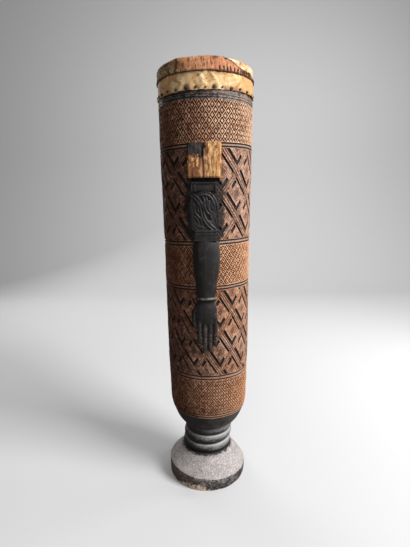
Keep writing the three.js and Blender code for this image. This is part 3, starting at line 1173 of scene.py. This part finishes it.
def carvedColour(finish):
    face = finish.mix(finish.worn, wood["ridge"], wood["ridgeWornAndLit"])
    redderLit = finish.mix(finish.worn, wood["redderLit"], wood["redderLitWorn"])
    face = finish.mix(finish.redAndLitRight, face, redderLit)
    cuts = (finish.depth + finish.speck * 0.2 - 0.1).ramp(0.4, 0.85)
    base = finish.mix(cuts, wood["slot"], finish.mix(finish.worn, face, wood["edge"]))
    base = finish.mix(finish.inBands(lattice["bands"]), base, latticeColour(finish, face))
    base = finish.mix(finish.inBands(interlace["bands"]), base, strapColour(finish))
    # grime in random patches, and painted shade that darkens the left side
    grimeAndLeftShade = (finish.broad * 0.7 + finish.mottle * 0.7 - finish.x * 1.9).ramp(0.58, 0.95)
    base = finish.mix(grimeAndLeftShade * 0.9, base, wood["grimeAndShade"], "MULTIPLY")
    # painted shade round the knot and cuffs, stronger on the left
    paintedArmShadeMask = (finish.attribute("paintedArmShade") + finish.mottle * 0.7 - finish.x * 1.5 - 0.4).ramp(0.3, 0.8)
    return finish.mix(paintedArmShadeMask * 0.88, base, wood["black"])


# how far black wood is rubbed grey, with a painted sheen that makes the bowl lighter toward the right
def rubbedBlackAndBowlSheen(finish):
    rubbed = finish.patch * 0.6 + finish.fibre * 0.4 + finish.speck * 0.35
    rubbed = rubbed + finish.onArm * (finish.level < 0.535) * 0.05 - finish.onArm * 0.06
    # painted sheen: the bowl greyer toward the right
    return (rubbed + finish.inBowl * finish.x * 2).ramp(0.6, 0.94)


# blackened bowl, top band and arm, with pale fingertips, a painted highlight on the bracelet, and lines
def blackColour(finish, rubbed):
    x, level, fleck = finish.x, finish.level, finish.fleck
    base = finish.mix(rubbed, wood["black"], wood["blackWorn"])
    tips = finish.onArm * (1 - level.ramp(0.43, 0.5))
    base = finish.mix((fleck * 0.7 + finish.speck * 0.4).ramp(0.55, 0.66) * tips * 0.8, base, wood["edge"])
    # painted highlight along the bracelet, brighter toward the right
    bracelet = finish.onArm * finish.heights(*wood["bracelet"]) * (finish.mottle + x * 4).ramp(0.36, 0.52)
    base = finish.mix(bracelet * 0.8, base, wood["braceletHighlight"])
    # the top band rubbed brown, more toward the right: wear and a painted highlight on the lit side
    brown = (finish.mottle + fleck * 0.3 + x * 1.5).ramp(0.6, 0.82)
    base = finish.mix(finish.inBlackBand * brown, base, wood["bandWornAndLit"])
    first, second, third = (finish.heights(*line) for line in wood["blackLines"])
    lines = (first.largest(second) * 0.9).largest(third) * finish.worn
    return finish.mix(lines, base, wood["edge"])


# painted light: the rings pale grey where they face up and toward the right, black below and on the left,
# black in the grooves
def neckColour(finish):
    lit = (finish.facing() * 0.6 + finish.x * 4 + finish.mottle * 0.6 + finish.speck * 0.3).ramp(0.28, 0.95)
    return finish.mix(lit * finish.depth.ramp(0.1, 0.5), wood["black"], wood["ring"])


# dust on the foot's slope, black up at the neck
def footColour(finish):
    fleck, mottle, speck, level = finish.fleck, finish.mottle, finish.speck, finish.level
    grain = (speck * 0.6 + fleck * 0.5 + finish.patch * 0.3 - level * 0.6).ramp(0.48, 0.84)
    base = finish.mix(grain, wood["dustDark"], wood["dust"])
    base = finish.mix((speck * 0.7 + fleck * 0.5).ramp(0.68, 0.78), base, wood["salt"])
    collar = (level + (mottle - 0.5) * 0.02 + (fleck - 0.5) * 0.012).ramp(0.0775, 0.084)
    return finish.mix(collar, base, wood["black"])


def footSideColour(finish):
    pale = (finish.fleck * 0.8 + finish.patch * 0.5 + finish.level * 3).ramp(0.66, 0.84)
    base = finish.mix(pale, wood["side"], wood["sidePale"])
    return finish.mix((finish.mottle - finish.x * 3).ramp(0.6, 0.75) * 0.7, base, wood["sideBrown"])


# bare wood where the foot's lower edge is knocked, mostly left of the front
def chipped(finish, base):
    level, facing = finish.level, finish.facing()
    reach = 1 - (finish.x + 0.042).size().ramp(0.018, 0.05)
    chips = (finish.noise(100, 4, 0.72) + finish.speck * 0.3 + reach * 0.21 - level * 12).ramp(0.675, 0.72)
    upright = (facing < 0.3) * (facing > -0.95)
    knocked = chips * upright * (level < 0.03) * (0 - finish.y > 0.02)
    bare = finish.mix((finish.fleck + level * 10).ramp(0.6, 0.82), wood["chip"], wood["rawRose"])
    return finish.mix(knocked, base, bare)


# raw split wood of the stub, stained down its fibres, with brown blots gathered toward the left as painted
# shade, and black at its upper left
def rawColour(finish, rubbed):
    x, fleck, mottle, speck = finish.x, finish.fleck, finish.mottle, finish.speck
    pale = (finish.fibre * 0.5 + mottle * 0.6 + speck * 0.2).ramp(0.52, 0.86)
    base = finish.mix(pale, wood["raw"], wood["rawPale"])
    blotAndLeftShade = finish.noise(70, 4, 0.65, finish.stretched(1, 1, 0.7))
    # brown blots, partly stains and partly painted shade toward the left
    base = finish.mix((blotAndLeftShade + fleck * 0.35 - x * 2.5).ramp(0.69, 0.78) * 0.9, base, wood["rawBrown"])
    smear = finish.noise(150, 4, 0.65, finish.stretched(1, 1, 0.22))
    base = finish.mix((smear + speck * 0.25).ramp(0.63, 0.71) * 0.85, base, wood["rawBrown"])
    crack = 1 - (x + 0.0085 + (finish.patch - 0.5) * 0.008).size().ramp(0.003, 0.0075)
    base = finish.mix(crack * 0.75, base, wood["rawRose"])
    wander = (mottle - 0.5) * 0.05 + (fleck - 0.5) * 0.02
    charred = (finish.z + wander).ramp(0.881, 0.889) * (1 - (x + wander * 0.8).ramp(-0.004, 0.003))
    char = finish.mix(rubbed * 0.45, wood["black"], wood["blackWorn"])
    return finish.mix(charred * 0.97, base, char)


def carvedWood():
    finish = WoodFinish()
    level, facing = finish.level, finish.facing()
    rubbed = rubbedBlackAndBowlSheen(finish)
    base = finish.mix(finish.isBlack, carvedColour(finish), blackColour(finish, rubbed))
    onNeck = (level > 0.0855) * (1 - level.ramp(0.135, 0.168))
    base = finish.mix(onNeck, base, neckColour(finish))
    base = finish.mix((level < 0.06) * (facing < 0.36), base, footSideColour(finish))
    onFoot = (level < 0.088) * (facing + finish.speck * 0.1).ramp(0.3, 0.42)
    base = chipped(finish, finish.mix(onFoot, base, footColour(finish)))
    base = finish.mix(finish.attribute("rawWood"), base, rawColour(finish, rubbed))
    finish.set("Base Color", base)
    finish.set("Roughness", 0.8 - finish.isBlack * 0.25 - finish.worn * 0.12 + onFoot * 0.15)
    finish.set("Specular IOR Level", 0.4)
    finish.set("Normal", finish.bump(finish.fibre * 0.6 + finish.speck * 0.6, 0.0008))
    return finish.material


# stains are how large some pegs are and the dark rings round them, by the number of the peg
pegs = {
    "count": 32, "phase": 10, "wander": 2.5, "level": 1037, "radius": 3.0, "depth": 9.5, "proud": 2.6,
    "sides": 8, "seed": 5, "rough": 0.22,
    "stains": {0: 1.35, 1: 0.45, 2: 1.1, 3: 0.85, 26: 0.9, 27: 0.45, 28: 0.85, 29: 1.4, 30: 0.8, 31: 0.6},
    "dark": (0.018, 0.01, 0.007), "pale": (0.11, 0.055, 0.03),
}


def pegPlace(i):
    angle = pegs["phase"] + i * 360 / pegs["count"]
    wander = pegs["wander"] * math.cos(math.radians((angle + 14) * 4))
    return math.radians(angle + wander), pegs["level"] + math.sin(i * 2.4)


hideHead = {
    "columns": 224, "rows": 22, "outer": 119.0, "top": 1100.9, "bottom": 1031.5, "corner": 7, "sag": 2.2,
    "thick": 1.6,
    "cut": 0.38,  # width of the disc that it was cut as, in m
    "folds": [  # angle and height of a fold's two ends, how far it stands out, half width
        (-8, 1069, 0, 1038, 2.0, 3.0), (-4, 1069, 4, 1042, -1.6, 2.6), (5, 1068, 15, 1040, 1.9, 3.0),
        (9, 1068, 19, 1038, -1.5, 2.4), (-34, 1066, -26, 1044, 1.2, 3.5), (33, 1067, 40, 1040, 1.3, 4.0),
        (52, 1066, 60, 1036, 1.5, 4.5), (118, 1066, 128, 1038, 1.7, 4.0), (171, 1067, 163, 1040, 1.5, 3.5),
        (-96, 1067, -88, 1038, 1.6, 4.0), (-140, 1066, -149, 1042, 1.4, 3.6)],
    "flare": (66, 3.2, 12),  # angle, how far out, half width in degrees
}


# from the middle of the head over the rim and down the skirt
def hideProfile():
    outer, top, corner, low = (hideHead[key] for key in ("outer", "top", "corner", "bottom"))
    points = [(0, top - hideHead["sag"])]
    for i in range(1, 9):
        points.append(((outer - corner) * i / 8, top - hideHead["sag"] * (1 - (i / 8) ** 2)))
    for i in range(1, 7):
        turn = i / 6 * math.pi / 2
        points.append((outer - corner + corner * math.sin(turn), top - corner + corner * math.cos(turn)))
    for i in range(1, hideHead["rows"] + 1):
        points.append((outer, top - corner + (low - top + corner) * i / hideHead["rows"]))
    return points


# how far the skirt stands out at an angle and height: folds, puckers at the pegs, a loose lower edge
def skirtOut(angle, z):
    loose = smoothStep(1052, 1031, z)
    free = smoothStep(1094, 1066, z)
    spot = Vector((math.sin(angle), -math.cos(angle), 0))
    out = noise.noise(spot * 9 + Vector((0, 0, z * 0.02))) * free
    out += noise.noise(spot * 26 + Vector((0, 0, z * 0.045))) * 0.7 * free
    nearest = 100
    for i in range(pegs["count"]):
        at, level = pegPlace(i)
        gap = math.hypot(turnBetween(angle, at) * hideHead["outer"], z - level)
        nearest = min(nearest, abs(turnBetween(angle, at)) * hideHead["outer"])
        if gap < 30:
            out -= 1.3 * math.exp(-(gap / 5.5) ** 2)
    out += loose * 1.9 * smoothStep(2, 11, nearest)
    for start, high, end, low, rise, half in hideHead["folds"]:
        share = min(max((high - z) / (high - low), -0.15), 1.15)
        middle = math.radians(start + (end - start) * share)
        gap = turnBetween(angle, middle) * hideHead["outer"]
        fade = smoothStep(-0.15, 0.2, share) * smoothStep(1.15, 0.8, share)
        out += rise * math.exp(-(gap / half) ** 2) * fade
    at, rise, half = hideHead["flare"]
    gap = math.degrees(turnBetween(angle, math.radians(at))) / half
    out += rise * math.exp(-gap * gap) * smoothStep(1050, 1032, z)
    return max(out, -1.4)


def hemDrop(angle):
    spot = Vector((math.sin(angle), -math.cos(angle), 0))
    wave = noise.noise(spot * 4) * 2.0 + noise.noise(spot * 15) * 1.6 + noise.noise(spot * 44) * 0.7
    return wave - 2.4 * max(math.sin(angle), 0) + 0.4


# a stain round each peg
def markPegs(piece):
    near = []
    for vertex in piece.data.vertices:
        place = vertex.co / mm
        angle, z = angleOf(place), place.z
        gap = 100
        if z < 1060:
            for i in range(pegs["count"]):
                at, level = pegPlace(i)
                away = math.hypot(turnBetween(angle, at) * hideHead["outer"], z - level)
                gap = min(gap, away / pegs["stains"].get(i, 0.8))
        near.append(smoothStep(6.5, 2.5, gap))
    piece.data.attributes.new("pegNear", "FLOAT", "POINT").data.foreach_set("value", near)


def makeHideHead():
    piece = spun("hideHead", hideProfile(), hideHead["columns"])
    corner = hideHead["top"] - hideHead["corner"]
    low = hideHead["bottom"]
    for vertex in piece.data.vertices:
        place = vertex.co / mm
        radius = math.hypot(place.x, place.y)
        angle = angleOf(place)
        if place.z > corner - 0.01:
            dent = noise.noise(place * 0.035) * 0.9 + noise.noise(place * 0.11) * 0.3
            vertex.co.z += dent * mm * smoothStep(0, 60, radius) * smoothStep(121, 104, radius)
            continue
        share = (corner - place.z) / (corner - low)
        z = place.z - hemDrop(angle) * share ** 3
        out = radius + skirtOut(angle, z) * smoothStep(0, 0.2, share)
        vertex.co = Vector((out * math.sin(angle), -out * math.cos(angle), z)) * mm
    applyModifier(piece, "SOLIDIFY", thickness=hideHead["thick"] * mm, offset=-1, use_even_offset=False)
    markPegs(piece)
    pickOnly(piece)
    bpy.ops.object.shade_smooth_by_angle(angle=math.radians(60))
    piece.data.materials.append(driedHide())
    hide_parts("drum_skin")
    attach(piece, "root")
    print("hide head", len(piece.data.polygons))


hideColours = {
    "pale": (0.88, 0.58, 0.27), "amber": (0.62, 0.31, 0.10), "brown": (0.20, 0.08, 0.03),
    "milk": (0.96, 0.80, 0.54), "peg": (0.075, 0.032, 0.016),
}


# dried raw hide: cream, stained amber and brown, darker round the pegs and at the hem
def driedHide():
    finish = Finish("driedHide")
    x, z = (finish.axis(finish.place, i) for i in (0, 2))
    broad = finish.noise(16, 4, 0.6, warp=0.5)
    blotch = finish.noise(46, 5, 0.62, warp=0.8)
    speck = finish.noise(420, 3, 0.7)
    fleck = finish.noise(190, 4, 0.7)
    streak = finish.noise(60, 4, 0.6, finish.stretched(1, 1, 0.25))
    milky = (broad + streak * 0.4 - x * 1.3 + 0.01).ramp(0.54, 0.88)
    base = finish.mix(milky, hideColours["pale"], hideColours["milk"])
    aged = (blotch + broad * 0.3 + x.size() * 1.7).ramp(0.62, 0.8)
    base = finish.mix(aged * 0.9, base, hideColours["amber"])
    base = finish.mix((blotch * 0.7 + fleck * 0.45).ramp(0.62, 0.73) * 0.75, base, hideColours["brown"])
    facing = finish.facing()
    crown = z.ramp(1.066, 1.08) * (1 - facing.ramp(0.75, 0.97) * 0.75) * (1 - x.ramp(0.015, 0.05) * 0.85)
    base = finish.mix(crown * (0.45 + blotch * 0.5), base, hideColours["amber"])
    base = finish.mix(crown * (fleck + blotch * 0.4).ramp(0.62, 0.76), base, hideColours["brown"])
    hem = (1 - z.ramp(1.031, 1.046)) * (blotch + streak * 0.5).ramp(0.5, 0.95)
    base = finish.mix(hem * 0.75, base, hideColours["brown"])
    bare = z.ramp(1.08, 1.086) * x.ramp(0.02, 0.05) * (1 - (blotch + fleck * 0.3).ramp(0.66, 0.76))
    base = finish.mix(bare * 0.5, base, hideColours["milk"])
    around = finish.attribute("pegNear")
    base = finish.mix(around * (0.5 + blotch * 0.8), base, hideColours["peg"])
    finish.set("Base Color", base)
    finish.set("Roughness", 0.5 + blotch * 0.25)
    finish.set("Specular IOR Level", 0.45)
    finish.set("Normal", finish.bump(speck * 0.5 + streak * 0.8, 0.0005))
    return finish.material


rimStrip = {
    "columns": 240, "rows": 14, "inner": 119.25, "bottom": 1071.6, "top": 1101.3, "corner": 7, "lip": 12,
    "thick": 1.4,
    "cut": (0.76, 0.04),  # length and width of the strip that it was cut as, in m
    "lump": (-33, 2.2, 8),  # angle, how far out, half width in degrees
    "torn": (16, 150), "darkSpot": 11,  # angles between which its upper edge is torn, and of a dark spot
    "tear": [  # angle and height of the torn edge
        (21, 1099.5), (31, 1094), (41, 1083.5), (59, 1078), (83, 1075.5), (104, 1077), (126, 1086),
        (142, 1096), (150, 1099.5)],
}


# the strip's outline from its lower edge up and over the rim, as a point at a length along it
def stripPoint(length):
    inner, bottom = rimStrip["inner"], rimStrip["bottom"]
    top, corner = rimStrip["top"], rimStrip["corner"]
    straight = top - corner - bottom
    arc = corner * math.pi / 2
    if length <= straight:
        return inner, bottom + length
    if length <= straight + arc:
        turn = (length - straight) / corner
        return inner - corner + corner * math.cos(turn), top - corner + corner * math.sin(turn)
    return inner - corner - (length - straight - arc), top


def tearLength(angle):
    top, corner, bottom = rimStrip["top"], rimStrip["corner"], rimStrip["bottom"]
    whole = top - corner - bottom + corner * math.pi / 2 + rimStrip["lip"] - corner
    spot = Vector((math.sin(angle), -math.cos(angle), 0))
    ragged = noise.noise(spot * 22) * 2.4 + noise.noise(spot * 60) * 1.4
    degrees = math.degrees(angle)
    stations = rimStrip["tear"]
    if not stations[0][0] <= degrees <= stations[-1][0]:
        return whole + ragged * 0.8
    z = between(degrees, stations) + ragged
    return max(min(z - bottom, whole), 1.6)


# painted shadow along the torn edge, darkest there, and one dark spot at the start of the tear
def markTear(piece):
    near = []
    first, last = rimStrip["torn"]
    for vertex in piece.data.vertices:
        place = vertex.co / mm
        angle = angleOf(place)
        degrees = math.degrees(angle)
        gap = rimStrip["bottom"] + tearLength(angle) - place.z
        inside = smoothStep(first - 1, first + 3, degrees) * smoothStep(last + 1, last - 3, degrees)
        spot = math.exp(-((degrees - rimStrip["darkSpot"]) / 3.5) ** 2) * smoothStep(1092, 1098, place.z)
        near.append(max(smoothStep(4.2, 1.8, gap) * inside, spot))
    piece.data.attributes.new("tearShadeNear", "FLOAT", "POINT").data.foreach_set("value", near)


def makeRimStrip():
    profile = [(rimStrip["inner"], rimStrip["bottom"] + i) for i in range(rimStrip["rows"] + 1)]
    piece = spun("rimStrip", profile, rimStrip["columns"])
    for vertex in piece.data.vertices:
        place = vertex.co / mm
        angle = angleOf(place)
        share = (place.z - rimStrip["bottom"]) / rimStrip["rows"]
        radius, z = stripPoint(share * tearLength(angle))
        spot = Vector((math.sin(angle), -math.cos(angle), 0))
        buckle = noise.noise(spot * 14 + Vector((0, 0, z * 0.05))) * 0.9 + noise.noise(spot * 50) * 0.4
        at, reach, half = rimStrip["lump"]
        lump = reach * math.exp(-((math.degrees(angle) - at) / half) ** 2) * smoothStep(1086, 1094, z)
        radius += max(buckle, -0.3) + 0.9 * smoothStep(0.25, 0, share) + lump
        z += lump * 0.35 * smoothStep(1092, 1099, z)
        z += noise.noise(spot * 30) * 0.8 * smoothStep(0.3, 0, share)
        vertex.co = Vector((radius * math.sin(angle), -radius * math.cos(angle), z)) * mm
    applyModifier(piece, "SOLIDIFY", thickness=rimStrip["thick"] * mm, offset=1, use_even_offset=False)
    startEdit(piece)
    bpy.ops.mesh.select_all(action="SELECT")
    bpy.ops.mesh.normals_make_consistent(inside=False)
    toObjectMode()
    markTear(piece)
    pickOnly(piece)
    bpy.ops.object.shade_smooth_by_angle(angle=math.radians(50))
    piece.data.materials.append(darkHide())
    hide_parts("rim_band")
    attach(piece, "root")
    print("rim strip", len(piece.data.polygons))


stripColours = {
    "tan": (0.84, 0.38, 0.17), "rose": (0.55, 0.20, 0.09), "olive": (0.12, 0.072, 0.03),
    "gold": (0.85, 0.58, 0.28), "hair": (0.055, 0.022, 0.014), "scrape": (0.82, 0.55, 0.33),
}


# dark hide with some hair left on it: tan in front, olive and gold on the left, black along its edges, with
# a painted shadow along the torn edge
def darkHide():
    finish = Finish("darkHide")
    x, z = (finish.axis(finish.place, i) for i in (0, 2))
    broad = finish.noise(14, 4, 0.6)
    blotch = finish.noise(60, 5, 0.65, warp=0.6)
    hair = finish.noise(330, 4, 0.7, finish.stretched(1, 1, 0.16))
    speck = finish.noise(500, 2, 0.7)
    base = finish.mix((broad + blotch * 0.4).ramp(0.5, 0.9), stripColours["rose"], stripColours["tan"])
    base = finish.mix((blotch + broad * 0.5).ramp(0.74, 0.92) * 0.5, base, stripColours["scrape"])
    fleck = finish.noise(210, 4, 0.7)
    golden = (fleck * 0.8 + blotch * 0.5).ramp(0.56, 0.78)
    olive = finish.mix(golden, stripColours["olive"], stripColours["gold"])
    base = finish.mix(((0 - x) * 7 + broad * 0.9).ramp(0.8, 0.98), base, olive)
    fold = 1 - (x + 0.066 + (blotch - 0.5) * 0.02).size().ramp(0.001, 0.005)
    base = finish.mix(fold * 0.8, base, stripColours["hair"])
    base = finish.mix((hair + fleck * 0.35).ramp(0.68, 0.8) * 0.85, base, stripColours["hair"])
    edge = (1 - z.ramp(1.0715, 1.0755)) * 0.6
    base = finish.mix(edge, base, stripColours["hair"])
    # painted shadow along the torn edge, and the dark spot where the tear starts
    base = finish.mix(finish.attribute("tearShadeNear") * 0.92, base, stripColours["hair"])
    finish.set("Base Color", base)
    finish.set("Roughness", 0.62 + blotch * 0.25)
    finish.set("Specular IOR Level", 0.4)
    finish.set("Normal", finish.bump(hair + speck * 0.4, 0.0006))
    return finish.material


laceCord = {
    "radius": 1.1, "level": 1070.6, "out": 120.9, "gap": (-0.5, 5.2), "step": 1.5, "seed": 11,
    "whips": (16, 62, 4.1),  # first and last angle, and the spacing, of the thick upright stitches
    "stitches": [(-64, -18, 6.5), (72, 176, 7.0), (-176, -72, 7.5)],
    "stitch": 0.85, "whip": 1.9, "whipTall": (9, 12), "stitchTall": (3.8, 6.6),
    "dark": (0.035, 0.017, 0.01), "pale": (0.17, 0.085, 0.045),
}


def cordPoint(angle, z, out):
    return Vector((out * math.sin(angle), -out * math.cos(angle), z)) * mm


def addLine(curve, points):
    line = curve.splines.new("POLY")
    line.points.add(len(points) - 1)
    for point, place in zip(line.points, points):
        point.co = (*place, 1)


def cordPiece(name, lines, radius):
    curve = bpy.data.curves.new(name, "CURVE")
    curve.dimensions = "3D"
    for points in lines:
        addLine(curve, points)
    curve.bevel_depth = radius * mm
    curve.bevel_resolution = 1
    curve.use_fill_caps = True
    cord = bpy.data.objects.new(name, curve)
    bpy.context.scene.collection.objects.link(cord)
    pickOnly(cord)
    bpy.ops.object.convert(target="MESH")
    return bpy.context.object


# the cord's run round the rim, open where its ends lie apart
def cordRun():
    start, end = laceCord["gap"]
    run = []
    degrees = end
    while degrees < start + 360:
        angle = math.radians(degrees)
        spot = Vector((math.sin(angle), -math.cos(angle), 0))
        twist = math.sin(degrees * 2.1) * 0.25
        level = laceCord["level"] + noise.noise(spot * 12) * 0.8 + twist
        run.append(cordPoint(angle, level, laceCord["out"] + twist + 0.2))
        degrees += laceCord["step"]
    return run


# arches over the cord, between two angles
def stitchArches(draw, first, last, spread, heights):
    arches = []
    degrees = first
    while degrees < last:
        tall = draw.uniform(*heights)
        lean = math.radians(draw.uniform(-1.6, 1.2))
        arch = []
        for i in range(6):
            share = i / 5
            level = laceCord["level"] - 1.5 + (tall + 2) * share
            out = laceCord["out"] - 0.8 + 1.7 * math.sin(math.pi * share)
            arch.append(cordPoint(math.radians(degrees) + lean * share, level, out))
        arches.append(arch)
        degrees += spread * draw.uniform(0.8, 1.2)
    return arches


def makeLaceCord():
    draw = random.Random(laceCord["seed"])
    whips = stitchArches(draw, *laceCord["whips"], laceCord["whipTall"])
    stitches = []
    for first, last, spread in laceCord["stitches"]:
        stitches += stitchArches(draw, first, last, spread, laceCord["stitchTall"])
    cord = cordPiece("laceCord", [cordRun()], laceCord["radius"])
    sewn = cordPiece("stitches", stitches, laceCord["stitch"])
    whipped = cordPiece("whips", whips, laceCord["stitch"] * laceCord["whip"])
    pickOnly(cord, sewn, whipped)
    bpy.ops.object.join()
    cord = bpy.context.object
    cord.name = "laceCord"
    mergeClose(cord)
    bpy.ops.object.shade_smooth()
    cord.data.materials.append(blackFibre())
    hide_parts("band_lacing")
    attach(cord, "root")
    print("lace cord", len(cord.data.polygons))


def blackFibre():
    finish = Finish("blackFibre")
    ply = finish.noise(700, 3, 0.6, finish.stretched(1, 1, 0.4))
    worn = finish.noise(90, 3)
    rubbed = (ply + worn * 0.5).ramp(0.55, 1.0)
    finish.set("Base Color", finish.mix(rubbed, laceCord["dark"], laceCord["pale"]))
    finish.set("Roughness", 0.75 + worn * 0.2)
    finish.set("Normal", finish.bump(ply, 0.0005))
    return finish.material


def makePeg(i, draw, finish):
    angle, level = pegPlace(i)
    near, far = log["seatRadius"] - pegs["depth"], hideHead["outer"] + pegs["proud"]
    radius = pegs["radius"] * min(max(pegs["stains"].get(i, 0.9), 0.6), 1.1) * draw.uniform(0.88, 1.0)
    bpy.ops.object.select_all(action="DESELECT")
    bpy.ops.mesh.primitive_cone_add(vertices=pegs["sides"], radius1=radius * 0.8 * mm, radius2=radius * mm,
                                    depth=(far - near) * mm, location=(0, 0, 0))
    peg = added("whittledPeg%02d" % (i + 1))
    pickFaces(peg, lambda centre: centre.z > (far - near) * 0.45 * mm)
    bpy.ops.mesh.inset(thickness=radius * 0.3 * mm, depth=radius * 0.22 * mm)
    toObjectMode()
    for vertex in peg.data.vertices:
        vertex.co += Vector([draw.uniform(-1, 1) * pegs["rough"] * mm for _ in range(3)])
    lean = Matrix.Rotation(angle, 4, "Z") @ Matrix.Rotation(math.pi / 2, 4, "X")
    place = Matrix.Translation(cordPoint(angle, level, (near + far) / 2))
    peg.data.transform(place @ lean @ Matrix.Rotation(draw.uniform(0, 3), 4, "Z"))
    pickOnly(peg)
    bpy.ops.object.shade_smooth_by_angle(angle=math.radians(35))
    peg.data.materials.append(finish)
    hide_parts("peg_%02d" % (i + 1))
    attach(peg, "root")


def makePegs():
    draw = random.Random(pegs["seed"])
    finish = pegWood()
    for i in range(pegs["count"]):
        makePeg(i, draw, finish)
    print("pegs", pegs["count"])


def pegWood():
    finish = Finish("pegWood")
    fibre = finish.noise(600, 3, 0.6)
    blotch = finish.noise(120, 3)
    rubbed = (fibre + blotch * 0.6).ramp(0.6, 1.05)
    finish.set("Base Color", finish.mix(rubbed, pegs["dark"], pegs["pale"]))
    finish.set("Roughness", 0.7 + blotch * 0.2)
    finish.set("Normal", finish.bump(fibre, 0.0004))
    return finish.material


makeCamera()
makeLights()
makeGround()
makeDrumBody()
makeHideHead()
makeRimStrip()
makeLaceCord()
makePegs()
